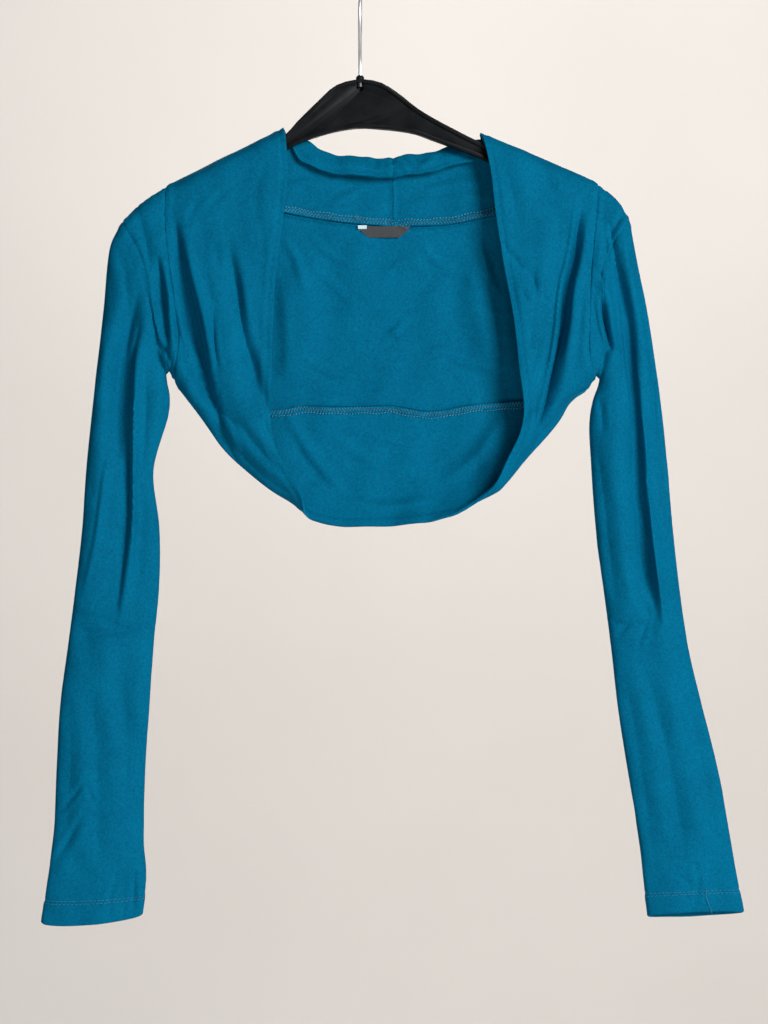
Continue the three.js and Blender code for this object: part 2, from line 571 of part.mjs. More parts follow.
// A flat shape in the hanger's plane, given its thickness about Y = 0.
function plate(shape, thickness) {
  const geometry = new THREE.ExtrudeGeometry(
    shape, { depth: thickness, bevelEnabled: false, curveSegments: 6 },
  );
  geometry.translate(0, 0, -thickness / 2);
  geometry.rotateX(Math.PI / 2);
  return solidOf(geometry);
}

function column(radius, bottom, top) {
  const geometry = new THREE.CylinderGeometry(radius, radius, top - bottom, 20);
  geometry.rotateX(Math.PI / 2);
  geometry.translate(0, 0, (top + bottom) / 2);
  return solidOf(geometry);
}

// A column with a domed top.
function dome(radius, bottom, top) {
  const rise = 0.8 * radius;
  const profile = [new THREE.Vector2(0, bottom), new THREE.Vector2(radius, bottom)];
  for (let degrees = 0; degrees < 90; degrees += 15) {
    const angle = THREE.MathUtils.degToRad(degrees);
    profile.push(new THREE.Vector2(radius * Math.cos(angle), top - rise + rise * Math.sin(angle)));
  }
  profile.push(new THREE.Vector2(0, top));
  const geometry = new THREE.LatheGeometry(profile, 20);
  geometry.rotateX(Math.PI / 2);
  return solidOf(geometry);
}

// A slot's outline in the hanger's plane: flat on top, round at the bottom.
function slotShape(half, bottom, top) {
  const shape = new THREE.Shape();
  shape.moveTo(half, top);
  shape.lineTo(-half, top);
  shape.absarc(0, bottom + half, half, Math.PI, 2 * Math.PI);
  return shape;
}

// The hanger's outline, drawn in by inset on every side.
function hangerOutline(inset) {
  const ends = [HANGER_ROWS[0], HANGER_ROWS.at(-1)];
  const line = (key, sign) => {
    const curve = new THREE.CatmullRomCurve3(
      HANGER_ROWS.map((row) => point(row.x, 0, row[key])), false, 'centripetal',
    );
    return curve.getSpacedPoints(OUTLINE_STEPS).map((p, k) => {
      const along = curve.getTangentAt(k / OUTLINE_STEPS);
      return new THREE.Vector2(p.x - sign * inset * along.z, p.z + sign * inset * along.x);
    });
  };
  const kept = (p) => p.x > ends[0].x + 2 * inset && p.x < ends[1].x - 2 * inset;
  const top = line('top', -1).filter((p) => inset === 0 || kept(p));
  const bottom = line('bottom', 1).filter((p) => inset === 0 || kept(p)).reverse();
  return [...top, ...bottom];
}

function hangerBody() {
  const pocketDepth = (HANGER_THICK - HANGER_WEB) / 2;
  const pocket = new THREE.Shape(hangerOutline(HANGER_RIM));
  const pocketMid = HANGER_WEB / 2 + pocketDepth / 2 + 0.5;
  const half = HANGER_THICK / 2;
  const slot = slotShape(SLOT.half, SLOT.bottom, SLOT.top);
  const backing = slotShape(SLOT.half + SLOT.wall, SLOT.bottom - SLOT.wall, SLOT.top);
  const solid = plate(new THREE.Shape(hangerOutline(0)), HANGER_THICK)
    .subtract(plate(pocket, pocketDepth + 1).translate([0, -pocketMid, 0]))
    .subtract(plate(pocket, pocketDepth + 1).translate([0, pocketMid, 0]))
    .add(dome(KNOB.radius, KNOB.bottom, KNOB.top))
    .add(plate(backing, half).translate([0, half / 2, 0]))
    .subtract(plate(slot, HANGER_THICK).translate([0, -SLOT.wall, 0]))
    .subtract(column(BORE, SLOT.top - 1, KNOB.top + 1));
  return geometryOf(solid);
}

// The hook: one wire from its head in the slot, up and round over the rail.
function hook() {
  const mid = HOOK_INSIDE + WIRE / 2;
  const centre = -HOOK_INSIDE;
  const points = [
    point(0, 0, SLOT.top - 2.5), point(0, 0, -70), point(0, 0, -62), point(0, -2.5, -55),
    point(0, -10, -48.5),
  ];
  for (let degrees = 215; degrees >= -25; degrees -= 20) {
    const angle = THREE.MathUtils.degToRad(degrees);
    points.push(point(0, mid * Math.cos(angle), centre + mid * Math.sin(angle)));
  }
  const curve = new THREE.CatmullRomCurve3(points, false, 'centripetal');
  const section = new THREE.Shape();
  section.absarc(0, 0, WIRE / 2, 0, 2 * Math.PI);
  const wire = new THREE.ExtrudeGeometry(section, { extrudePath: curve, steps: 44, curveSegments: 4 });
  const headTop = SLOT.top - 0.3;
  return geometryOf(solidOf(wire).add(column(WIRE / 2 + 0.9, headTop - 3.2, headTop)));
}

// A label sewn in the collar seam: a flat tongue in front of the back panel.
function labelPiece(name, { from, to, drop, corner = 0, lift }) {
  const columns = 6;
  const rows = 3;
  const grid = evenShares(rows).map((v) => evenShares(columns).map((u) => {
    const nip = corner * v ** 1.6;
    const x = from + nip + u * (to - from - 2 * nip);
    const z = LABEL_TOP - v * drop;
    const base = onLayer([x, z], 'back');
    base.y -= JERSEY / 2 + LABEL / 2 + lift;
    return base;
  }));
  return cloth(name, grid, { flip: true });
}

// Assembly.

const bolero = new THREE.Group();
const addMesh = (name, geometry, material) => {
  const mesh = new THREE.Mesh(geometry, material);
  mesh.name = name;
  bolero.add(mesh);
};

const SEAMS = { right: seamsOf('right'), left: seamsOf('left') };

function frontPanel(side) {
  const { shoulder, side: sideSeam, armhole, front } = SEAMS[side];
  const grid = panelGrid([...shoulder].reverse(), sideSeam, armhole, front, 'front');
  return cloth(`front_panel_${side}`, grid, { flip: side === 'right' });
}

function backPanel() {
  const top = [
    ...[...SEAMS.right.shoulder].reverse(), ...[...SEAMS.right.collar].reverse().slice(1),
    ...SEAMS.left.collar.slice(1), ...SEAMS.left.shoulder.slice(1),
  ];
  const bottom = [...SEAMS.right.hem, ...[...SEAMS.left.hem].reverse().slice(1)];
  const start = [...SEAMS.right.armhole, ...SEAMS.right.side.slice(1)];
  const end = [...SEAMS.left.armhole, ...SEAMS.left.side.slice(1)];
  return cloth('back_panel', panelGrid(top, bottom, start, end, 'back'), {});
}

const sleeves = ['right', 'left'].map((side) =>
  cloth(`sleeve_${side}`, sleeveGrid(side, SEAMS[side].armhole), { flip: side === 'right', ring: true }));
const bands = ['right', 'left'].map((side) =>
  cloth(`band_${side}`, bandGrid(side), { flip: side === 'left' }));
const fronts = ['right', 'left'].map(frontPanel);
const back = backPanel();
sew([...sleeves, ...bands, ...fronts, back]);

for (const piece of [back, ...fronts]) {
  addMesh(piece.name, wall(piece, JERSEY / 2, JERSEY / 2), jersey());
}
for (const piece of bands) {
  addMesh(piece.name, wall(piece, BAND / 2, BAND / 2), jersey());
}
for (const piece of sleeves) {
  const last = piece.grid.length - 1;
  const inner = (j) => (j >= last - 1 ? JERSEY * 1.5 : JERSEY / 2);
  addMesh(piece.name, wall(piece, JERSEY / 2, inner), jersey());
}
addMesh('neck_label', wall(labelPiece('neck_label', NECK_LABEL), LABEL / 2, LABEL / 2), LABEL_GREY);
addMesh('care_label', wall(labelPiece('care_label', CARE_LABEL), LABEL / 2, LABEL / 2), LABEL_WHITE);
addMesh('hanger_body', hangerBody(), PLASTIC);
addMesh('hanger_hook', hook(), CHROME);

export default bolero;
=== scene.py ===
import math
from collections import namedtuple

import bmesh
import bpy
import numpy as np
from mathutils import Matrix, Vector


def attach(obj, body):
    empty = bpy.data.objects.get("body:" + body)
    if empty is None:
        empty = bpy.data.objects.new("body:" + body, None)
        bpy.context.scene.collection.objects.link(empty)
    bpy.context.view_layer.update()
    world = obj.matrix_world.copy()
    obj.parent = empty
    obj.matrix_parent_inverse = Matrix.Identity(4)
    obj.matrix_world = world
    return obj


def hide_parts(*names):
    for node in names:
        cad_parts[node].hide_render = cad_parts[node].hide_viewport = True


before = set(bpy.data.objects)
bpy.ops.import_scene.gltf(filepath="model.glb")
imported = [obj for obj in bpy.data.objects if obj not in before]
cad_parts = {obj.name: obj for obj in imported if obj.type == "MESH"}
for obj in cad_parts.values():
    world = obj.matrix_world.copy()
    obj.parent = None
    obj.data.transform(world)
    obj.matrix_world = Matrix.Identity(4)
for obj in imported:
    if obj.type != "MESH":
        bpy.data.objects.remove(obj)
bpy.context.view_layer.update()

MM = 0.001

# Sizes of the cloth.
JERSEY = 1.1  # one layer of jersey, as it looks at its edges
BAND = 2.3  # the doubled band
LABEL = 0.7
FINE = 7  # fine steps in one step of the part's grids
BAND_CROSS = 80  # steps across the band
ARM_HALF = 7.5  # from the hanger's middle to the cloth over its arms
CREST_ROUND = 12  # how far below a shoulder line the cloth is full again
FRONT_DROP = 16
BACK_DROP = 18
SIDE_ROUND = 14
ARMHOLE_STEPS = 12
SHOULDER_STEPS = 4
SLEEVE_PITCH = 2.3  # between two rings of a sleeve
CUFF_HEM = 18
SHARPNESS = 1.45  # 2 rounds a crease's bottom, 1 leaves it sharp
CUFF_SAG = {"right": {"front": 4.5, "back": 4}, "left": {"front": -3, "back": 2.5}}
LABEL_TOP = -194.8

# The shoulder line from the neck to the sleeve head, as (x, z).
SHOULDER = {
    "right": [(-64.2, -116.7), (-160.8, -163.3), (-183.3, -178.3), (-198.3, -193.3)],
    "left": [(101.7, -119.2), (197.1, -160.8), (215, -175.8), (224.2, -191.7)],
}

# The armhole seam from the shoulder to the armpit, as (x, z).
ARMHOLE = {
    "right": [(-198.3, -193.3), (-184.2, -216.7), (-176.7, -239.2), (-173.3, -257.5),
              (-168.3, -282), (-161.5, -305), (-158.3, -316.5)],
    "left": [(224.2, -191.7), (210, -213.3), (203.3, -236.7), (201.7, -257.5),
             (203.3, -280.8), (202, -303), (196.7, -320)],
}

# The band, a row for each section across it, from the nape round to the hem's centre.
# edge is the folded free edge and turn a point on the way, as (x, y, z); seam is (x, z),
# share is how far across the turn lies, and steps lead to the next row.
BandRow = namedtuple("BandRow", "edge turn seam share steps")
BAND_ROWS = {
    "right": [
        ((27.5, 4, -154.2), (27.5, 12, -138.4), (27.5, -195.8), 0.28, 3),
        ((-2.5, 4, -153.8), (-4.2, 12, -138.5), (-18.3, -191.7), 0.28, 2),
        ((-31.7, 5, -148.8), (-31.7, 12, -132.9), (-62.5, -184.6), 0.28, 2),
        ((-50, 6.5, -140), (-49.2, 11.5, -123.3), (-106.7, -175.8), 0.3, 1),
        ((-59.5, 7.5, -122.5), (-81.7, 8.5, -130), (-155, -165.5), 0.4, 2),
        ((-63.3, 0, -115), (-110, 0, -138.3), (-160.8, -163.3), 0.5, 2),
        ((-62, -7.5, -121.5), (-110, -7.5, -144.5), (-161.1, -171.7), 0.5, 1),
        ((-60, -9.5, -150.8), (-110, -9.5, -164.2), (-161.7, -184.2), 0.5, 2),
        ((-63.3, -10.5, -186.7), (-111.7, -11, -194.2), (-161, -202.5), 0.5, 2),
        ((-69.2, -12, -230.8), (-115, -13, -229.2), (-157.9, -230.8), 0.5, 2),
        ((-71.7, -14, -272.5), (-115, -15, -267.5), (-153.3, -261.7), 0.5, 2),
        ((-73.3, -16, -317.5), (-115, -18, -311.7), (-150, -295), 0.5, 1),
        ((-74.2, -17, -355.8), (-122.5, -14, -350.8), (-151.7, -328.3), 0.5, 3),
        ((-70, -17, -380.8), (-117.5, 0, -375), (-126.7, -337.5), 0.55, 2),
        ((-60, -16, -400), (-90, 0, -402.5), (-97.5, -344.2), 0.45, 2),
        ((-48.3, -13, -420), (-64.2, 0, -421.2), (-69.2, -348.3), 0.3, 2),
        ((-43.5, -2, -437.5), (-47, 8, -427), (-47.5, -345), 0.28, 2),
        ((-16.7, 2, -445.8), (-16.7, 13, -421.7), (-20.8, -345.4), 0.28, 3),
        ((27.5, 3, -445), (27.5, 14, -421.7), (27.5, -344.6), 0.28, 0),
    ],
    "left": [
        ((27.5, 4, -154.2), (27.5, 12, -138.4), (27.5, -195.8), 0.28, 3),
        ((56.7, 4, -150.4), (58.3, 12, -134.1), (73.3, -193.8), 0.28, 2),
        ((85.8, 5, -142.9), (85, 12, -127), (114.2, -185.8), 0.28, 2),
        ((101.7, 7, -137.5), (101.7, 10.5, -124.2), (150.8, -176.7), 0.3, 1),
        ((101.5, 7.5, -126.5), (120.8, 8.5, -135), (183.3, -167.5), 0.4, 2),
        ((100, 0, -119.2), (148.3, 0, -139.2), (197.1, -160.8), 0.5, 2),
        ((103, -7.5, -126), (148, -7.5, -145.7), (197.1, -169.2), 0.5, 1),
        ((108.3, -9.5, -149.2), (148.3, -9.5, -164.2), (196.7, -180.8), 0.5, 2),
        ((112.9, -10.5, -186.7), (150, -11, -192.5), (195, -199.2), 0.5, 2),
        ((119.2, -12, -228.3), (154.2, -13, -229.2), (192.5, -229.2), 0.5, 2),
        ((127.5, -14, -272.5), (158.3, -15, -270.8), (190.4, -261.7), 0.5, 2),
        ((132.5, -16, -315.8), (160.8, -18, -309.2), (189.5, -295), 0.5, 1),
        ((135.8, -17, -353.3), (163.3, -14, -342.5), (190.5, -330), 0.5, 3),
        ((131.7, -17, -370.8), (167.5, 0, -353.3), (169.2, -337.5), 0.55, 2),
        ((122.5, -16, -389.2), (139.2, 0, -387.5), (141.7, -340.8), 0.45, 2),
        ((109.5, -13, -412.5), (112.5, -3, -417), (116.7, -342.5), 0.25, 2),
        ((86.5, -6, -432), (93, 7, -420), (89.2, -344.6), 0.28, 2),
        ((60, -1, -441.7), (60, 13, -419.2), (60, -349.2), 0.28, 3),
        ((27.5, 3, -445), (27.5, 14, -421.7), (27.5, -344.6), 0.28, 0),
    ],
}
BAND_ROWS = {side: [BandRow(*row) for row in rows] for side, rows in BAND_ROWS.items()}
SHOULDER_ROW = 5
SIDE_ROW = 12

# The sleeves, a row for each ring below the armhole. outer and inner are the ring's ends
# as (x, z), front and back its depths, and bow its sag towards the body.
SleeveRow = namedtuple("SleeveRow", "outer inner front back bow")
SLEEVE_ROWS = {
    "right": [
        ((-207.3, -213), (-162, -319), 12, 13, 3),
        ((-213.3, -267.5), (-161.2, -326.5), 12, 13, 1),
        ((-218.3, -314.2), (-159, -337), 12, 13, 0),
        ((-222.5, -350.8), (-159.8, -352), 12, 13, 0),
        ((-227.5, -399.2), (-172.5, -399.2), 11, 13, 0),
        ((-230.8, -447.5), (-167.5, -447.5), 12, 12, 0),
        ((-236.7, -499.2), (-167.9, -499.2), 12, 12, 0),
        ((-242.1, -540.8), (-172.1, -540.8), 11, 12, 0),
        ((-249.2, -595), (-175.8, -595), 10, 12, 0),
        ((-252.1, -645), (-179.2, -645), 10, 11, 0),
        ((-255, -707.5), (-180.8, -707.5), 9, 10, 0),
        ((-260, -742.5), (-179.2, -740.8), 8, 9, 0),
        ((-265, -775), (-181.7, -767.5), 8, 9, 0),
    ],
    "left": [
        ((230.8, -227.5), (200.5, -323.5), 12, 13, 3),
        ((238.3, -264.2), (198.8, -330), 12, 13, 1),
        ((245.8, -312.5), (194.6, -341), 12, 13, 0),
        ((251.7, -357.5), (191.6, -358.5), 12, 13, 0),
        ((255.8, -399.2), (193.3, -399.2), 12, 13, 0),
        ((260, -447.5), (196.7, -447.5), 12, 12, 0),
        ((265.8, -499.2), (203.3, -499.2), 12, 12, 0),
        ((272.5, -545), (209.2, -545), 11, 12, 0),
        ((284.2, -595), (215, -595), 10, 12, 0),
        ((296.7, -645), (222.5, -645), 10, 11, 0),
        ((308.3, -707.5), (233.3, -707.5), 9, 10, 0),
        ((312.5, -732.5), (235.8, -735.8), 8, 9, 0),
        ((318.3, -766.7), (240, -770), 8, 9, 0),
    ],
}

SLEEVE_ROWS = {side: [SleeveRow(*row) for row in rows] for side, rows in SLEEVE_ROWS.items()}

# The large folds, which the part has too: a trough from start to end that bows sideways.
Fold = namedtuple("Fold", "part layer start end bow depth width")
FOLDS = [Fold(*row) for row in (
    ("body", "front", (-150, -215.8), (-100, -382.5), -7.3, 8, 8),
    ("body", "front", (-156.7, -257.5), (-130, -330.8), -1.7, 4, 5),
    ("body", "front", (-106.7, -215.8), (-81.7, -340.8), 0, 4, 9),
    ("body", "front", (180.8, -178.3), (144.2, -374.2), 3.3, 9, 9),
    ("body", "front", (138.3, -230.8), (147.5, -250.8), 0, 2, 5),
    ("body", "back", (-91.7, -207.5), (-112.5, -324.2), 3.3, 5, 12),
    ("body", "back", (-50, -215.8), (-58.3, -332.5), 0, 3, 12),
    ("body", "back", (91.7, -203.3), (116.7, -328.3), -3.3, 5, 12),
    ("body", "back", (150, -199.2), (170.8, -315.8), 0, 4, 10),
    ("sleeve", "front", (-178, -222), (-166.7, -306), 3.3, 5, 6),
    ("sleeve", "front", (-190, -257), (-203, -399), -3.3, 5, 8),
    ("sleeve", "front", (209, -209), (237.5, -516), 9.7, 9, 8),
    ("sleeve", "front", (-242, -536), (-171, -527.5), 0, 2, 9),
    ("sleeve", "front", (206.7, -531), (252, -531), 0, 2, 9),
    ("sleeve", "back", (-200, -257.5), (-206.7, -407.5), 3.3, 5, 9),
    ("sleeve", "back", (233.3, -249.2), (225, -424.2), -2.5, 6, 9),
    ("sleeve", "back", (-237.5, -530.8), (-175, -535.8), 0, 2, 9),
    ("sleeve", "back", (210, -535.8), (266.7, -540.8), 0, 2, 9),
)]

# The finer creases: a soft trough along a path of (x, z) points.
# lean makes its far side wider or narrower, and a depth below zero makes it a ridge.
Crease = namedtuple("Crease", "part layer path depth width lean")
CREASES = [Crease(*row) for row in (
    ("body", "front",
     [(-153, -192), (-147, -232), (-138, -266), (-131, -299), (-123, -338), (-103, -396)], 13, 3.0, 2.4),
    ("body", "front",
     [(-143, -204), (-139, -232), (-130, -266), (-123, -299), (-116, -336)], -3.5, 4.0, 0.8),
    ("body", "front",
     [(-157, -258), (-149, -289), (-141, -311), (-123, -339), (-100, -366)], 6, 2.2, 1.8),
    ("body", "front",
     [(-110, -204), (-102, -248), (-98, -282), (-89, -311), (-77, -344), (-50, -388)], 5, 3.4, 2.4),
    ("body", "front", [(-102, -216), (-95, -249), (-90, -281), (-82, -308)], -1.5, 4.0, 0.8),
    ("body", "front", [(-122, -271), (-120, -296), (-114, -332)], 3, 1.8, 2.2),
    ("body", "front", [(-120, -211), (-118, -222), (-118, -234)], 1.1, 2.4, 1.4),
    ("body", "front", [(-99, -286), (-87, -291), (-74, -298)], 0.8, 1.8, 1.0),
    ("body", "front", [(-87, -312), (-80, -317), (-74, -322)], 0.7, 1.8, 1.0),
    ("body", "front", [(-130, -171), (-138, -182), (-145, -198)], 0.8, 2.4, 1.0),
    ("body", "front", [(-102, -162), (-115, -171), (-127, -184)], 0.8, 2.4, 1.0),
    ("body", "front", [(-137, -178), (-128, -216), (-122, -258)], 0.9, 6.0, 1.0),
    ("body", "front", [(-87, -158), (-81, -208), (-81, -258)], 1.0, 5.0, 1.0),
    ("body", "front", [(-77, -141), (-85, -166), (-87, -199)], 0.8, 4.0, 1.0),
    ("body", "front", [(-137, -339), (-110, -374), (-82, -402), (-50, -424)], 2.2, 3.4, 1.5),
    ("body", "front", [(-112, -342), (-90, -374), (-58, -409)], 1.6, 4.0, 0.7),
    ("body", "front", [(-95, -339), (-78, -364), (-57, -392)], 1.2, 3.0, 1.4),
    ("body", "front", [(-82, -358), (-68, -384), (-50, -412)], 1.0, 3.0, 1.0),
    ("body", "front",
     [(181, -178), (176, -218), (169, -249), (165, -284), (159, -316), (143, -388)], 9, 4.8, 0.25),
    ("body", "front", [(189, -186), (185, -218), (178, -251), (174, -284), (169, -318)], -4, 3.4, 0.8),
    ("body", "front",
     [(181, -179), (176, -218), (169, -249), (164, -284), (158, -316), (142, -379)], -8, 1.4, 4.6),
    ("both", "front", [(202, -186), (206, -216), (210, -246), (212, -258)], 3.0, 2.6, 1.6),
    ("both", "front", [(205, -201), (202, -226), (198, -248)], 1.4, 2.4, 1.0),
    ("body", "front", [(116, -208), (125, -221), (137, -234)], 1.7, 2.2, 0.8),
    ("body", "front", [(133, -249), (137, -256), (142, -263)], 1.2, 2.0, 1.0),
    ("body", "front", [(144, -239), (145, -245), (148, -252)], 1.2, 2.0, 1.2),
    ("body", "front", [(145, -211), (146, -238), (144, -272), (137, -318)], 1.7, 5.5, 1.0),
    ("body", "front", [(150, -301), (143, -309), (135, -319)], 1.1, 2.2, 1.0),
    ("body", "front", [(181, -208), (186, -219), (192, -234)], 1.0, 2.0, 1.0),
    ("body", "front", [(195, -232), (202, -241), (211, -250)], 1.3, 2.4, 1.0),
    ("both", "front", [(200, -258), (203, -279), (209, -301)], 9, 2.8, 0.6),
    ("both", "front", [(209, -291), (202, -304), (192, -321)], 4, 3.2, 1.4),
    ("body", "front", [(187, -286), (188, -301), (189, -319)], 1.0, 1.8, 1.0),
    ("body", "front", [(167, -186), (163, -216), (158, -249)], 0.9, 4.0, 1.0),
    ("body", "front", [(123, -148), (128, -178), (133, -204)], 0.9, 4.0, 1.0),
    ("body", "front", [(153, -149), (160, -166), (172, -178)], 0.7, 3.0, 1.0),
    ("body", "front", [(147, -321), (135, -361), (117, -398), (100, -421)], 1.8, 4.0, 1.4),
    ("body", "front", [(172, -338), (150, -371), (123, -402)], 2.0, 3.4, 0.7),
    ("body", "front", [(185, -328), (168, -351), (142, -378)], 1.6, 3.0, 1.0),
    ("body", "front", [(125, -258), (130, -299), (131, -338)], 0.9, 3.6, 1.0),
    ("body", "back", [(-63, -163), (-48, -158), (-32, -163)], 2.1, 2.4, 1.0),
    ("body", "back", [(-23, -176), (-12, -170), (-2, -166)], 1.8, 2.2, 1.0),
    ("body", "back", [(32, -139), (37, -146), (42, -150)], 1.5, 2.0, 1.0),
    ("body", "back", [(37, -134), (43, -141), (52, -146)], 1.2, 2.0, 1.0),
    ("body", "back", [(20, -132), (17, -141), (18, -149)], 1.0, 2.4, 1.0),
    ("body", "back", [(-25, -131), (-13, -141), (5, -148)], 1.0, 3.0, 1.0),
    ("body", "back", [(67, -132), (57, -142), (47, -148)], 1.0, 2.4, 1.0),
    ("body", "back", [(-50, -131), (-35, -141), (-18, -148)], 1.2, 2.6, 1.0),
    ("body", "back", [(50, -168), (70, -161), (102, -158)], 1.8, 3.4, 1.0),
    ("body", "back", [(33, -179), (63, -172), (108, -169)], 1.5, 3.0, 1.0),
    ("body", "back", [(-50, -174), (-32, -181), (-7, -182)], 1.2, 3.0, 1.0),
    ("body", "back", [(-72, -268), (-25, -265), (27, -268), (77, -265), (127, -268)], 1.7, 1.8, 1.3),
    ("body", "back", [(-72, -289), (-17, -286), (33, -288), (92, -285), (132, -288)], 1.2, 1.8, 1.3),
    ("body", "back", [(18, -282), (27, -283), (35, -281)], 2.7, 2.2, 1.0),
    ("body", "back", [(42, -269), (30, -281), (17, -294)], 1.8, 2.0, 1.0),
    ("body", "back", [(37, -291), (30, -284), (23, -276)], 1.4, 2.0, 1.0),
    ("body", "back", [(-63, -204), (-52, -226), (-45, -254)], 2.0, 3.0, 1.0),
    ("body", "back", [(-40, -202), (-28, -216), (-8, -226)], 1.4, 2.4, 1.0),
    ("body", "back", [(50, -208), (67, -226), (95, -238)], 1.7, 3.0, 1.0),
    ("body", "back", [(98, -204), (108, -234), (118, -258)], 2.0, 3.0, 1.0),
    ("body", "back", [(-42, -226), (-17, -249), (-3, -261)], 1.4, 2.6, 1.0),
    ("body", "back", [(50, -258), (67, -246), (92, -249)], 1.2, 2.4, 1.0),
    ("body", "back", [(67, -301), (95, -311), (128, -312)], 1.7, 2.8, 1.0),
    ("body", "back", [(-53, -302), (-22, -318), (17, -321)], 1.4, 2.8, 1.0),
    ("body", "back", [(-50, -328), (-8, -334), (50, -331)], 1.0, 2.6, 1.0),
    ("body", "back", [(17, -241), (32, -226), (58, -216)], 1.0, 2.6, 1.0),
    ("body", "back", [(-67, -232), (-62, -274), (-63, -324)], 2.0, 5.0, 1.0),
    ("body", "back", [(127, -224), (123, -274), (127, -328)], 2.2, 6.0, 1.0),
    ("body", "back", [(-62, -352), (-43, -382), (-17, -412)], 3.0, 4.0, 1.0),
    ("body", "back", [(-32, -364), (10, -392), (58, -399)], 1.5, 4.0, 1.0),
    ("body", "back", [(123, -352), (100, -384), (67, -412)], 3.0, 5.0, 1.0),
    ("body", "back", [(0, -366), (32, -376), (75, -371)], 1.4, 3.0, 1.0),
    ("body", "back", [(-25, -422), (17, -429), (67, -424)], 1.7, 3.0, 1.0),
    ("body", "back", [(-50, -374), (-32, -399), (-7, -424)], 1.5, 3.0, 1.0),
    ("sleeve", "front", [(-182, -246), (-192, -288), (-198, -334), (-203, -399)], 7, 5.6, 1.4),
    ("sleeve", "front",
     [(-188, -296), (-192, -341), (-192, -391), (-193, -441), (-197, -482), (-202, -521)], 8, 2.2, 5.0),
    ("sleeve", "front",
     [(-184, -299), (-187, -349), (-188, -399), (-188, -449), (-192, -499)], -3, 4.0, 0.4),
    ("both", "front", [(-168, -221), (-163, -254), (-161, -279), (-158, -301)], 9, 2.4, 2.6),
    ("both", "front", [(-167, -294), (-162, -299), (-157, -308)], 3, 2.4, 0.8),
    ("sleeve", "front", [(-182, -278), (-186, -294), (-190, -312)], 2.0, 2.2, 0.8),
    ("both", "front", [(-170, -294), (-164, -300), (-158, -309)], 2.2, 2.2, 1.0),
    ("sleeve", "front", [(-178, -316), (-178, -358), (-183, -408)], 1.8, 4.0, 1.0),
    ("sleeve", "front", [(-214, -291), (-216, -309), (-218, -329)], 1.1, 1.8, 1.0),
    ("sleeve", "front", [(-243, -531), (-217, -535), (-175, -528)], 1.7, 2.4, 1.0),
    ("sleeve", "front", [(-240, -519), (-213, -524), (-175, -538)], 1.2, 2.2, 1.0),
    ("sleeve", "front", [(-252, -686), (-239, -672), (-226, -655)], 1.9, 2.0, 0.7),
    ("sleeve", "front", [(-228, -656), (-223, -671), (-218, -681)], 1.2, 1.8, 1.0),
    ("sleeve", "front", [(-255, -728), (-242, -706), (-227, -680)], 2.0, 2.2, 1.4),
    ("sleeve", "front", [(-229, -683), (-218, -688), (-205, -684)], 1.2, 2.0, 1.0),
    ("sleeve", "front", [(-223, -582), (-218, -641), (-217, -741)], 1.5, 6.0, 1.0),
    ("sleeve", "front", [(-200, -549), (-194, -624), (-197, -724)], 1.5, 6.0, 1.3),
    ("sleeve", "front", [(-202, -358), (-212, -408), (-219, -458), (-230, -504)], -1.6, 3.4, 0.5),
    ("sleeve", "front", [(-188, -382), (-185, -449), (-188, -521)], 1.9, 5.0, 0.8),
    ("sleeve", "front", [(-210, -332), (-208, -399), (-207, -482)], 1.2, 6.0, 1.0),
    ("sleeve", "front", [(-203, -208), (-194, -244), (-192, -276)], 1.8, 4.0, 1.0),
    ("both", "front", [(-187, -179), (-178, -208), (-173, -241)], 1.4, 3.0, 1.0),
    ("sleeve", "front", [(-242, -582), (-240, -641), (-245, -716)], 1.0, 5.0, 1.0),
    ("sleeve", "front", [(-202, -734), (-207, -751), (-208, -774)], 1.0, 2.0, 1.0),
    ("sleeve", "front", [(-187, -729), (-188, -751), (-188, -768)], 1.2, 2.0, 1.0),
    ("both", "front", [(207, -192), (215, -244), (222, -299), (228, -366)], 11, 4.6, 0.4),
    ("sleeve", "front",
     [(222, -296), (228, -341), (231, -382), (234, -432), (240, -482), (246, -528)], 9, 2.6, 3.4),
    ("sleeve", "front",
     [(228, -288), (233, -341), (236, -382), (240, -432), (246, -482), (252, -531)], -7, 5.0, 0.3),
    ("both", "front", [(205, -196), (211, -248), (215, -282), (217, -308)], 4, 3.0, 1.0),
    ("sleeve", "front", [(233, -241), (242, -308), (246, -374)], 2.2, 2.6, 0.8),
    ("both", "front", [(223, -179), (215, -192), (206, -208)], 1.6, 2.2, 1.0),
    ("sleeve", "front", [(223, -474), (233, -508), (242, -522)], 2, 3.0, 1.0),
    ("sleeve", "front", [(232, -424), (238, -471), (239, -521)], 2.4, 5.0, 0.7),
    ("sleeve", "front", [(218, -186), (233, -254), (248, -366)], 1.8, 4.0, 1.0),
    ("sleeve", "front", [(199, -339), (201, -354), (202, -369)], 1.6, 2.4, 1.0),
    ("sleeve", "front", [(205, -525), (225, -528), (250, -523)], 1.9, 2.0, 1.0),
    ("sleeve", "front", [(208, -543), (230, -547), (252, -542)], 1.8, 2.0, 1.0),
    ("sleeve", "front", [(213, -539), (221, -529), (226, -521)], 1.2, 2.0, 1.0),
    ("sleeve", "front", [(230, -548), (234, -536), (239, -526)], 1.2, 2.0, 1.0),
    ("sleeve", "front", [(253, -449), (262, -474), (265, -518)], 1.5, 4.0, 1.0),
    ("sleeve", "front", [(200, -249), (198, -299), (200, -349)], 2.4, 4.0, 1.0),
    ("sleeve", "front", [(197, -374), (205, -441), (212, -512)], 1.8, 5.0, 0.8),
    ("sleeve", "front", [(233, -553), (253, -624), (275, -749)], 2.0, 7.0, 0.8),
    ("sleeve", "front", [(218, -561), (233, -641), (248, -749)], 1.4, 5.0, 1.2),
    ("sleeve", "front", [(262, -561), (280, -624), (302, -732)], 1.4, 6.0, 1.0),
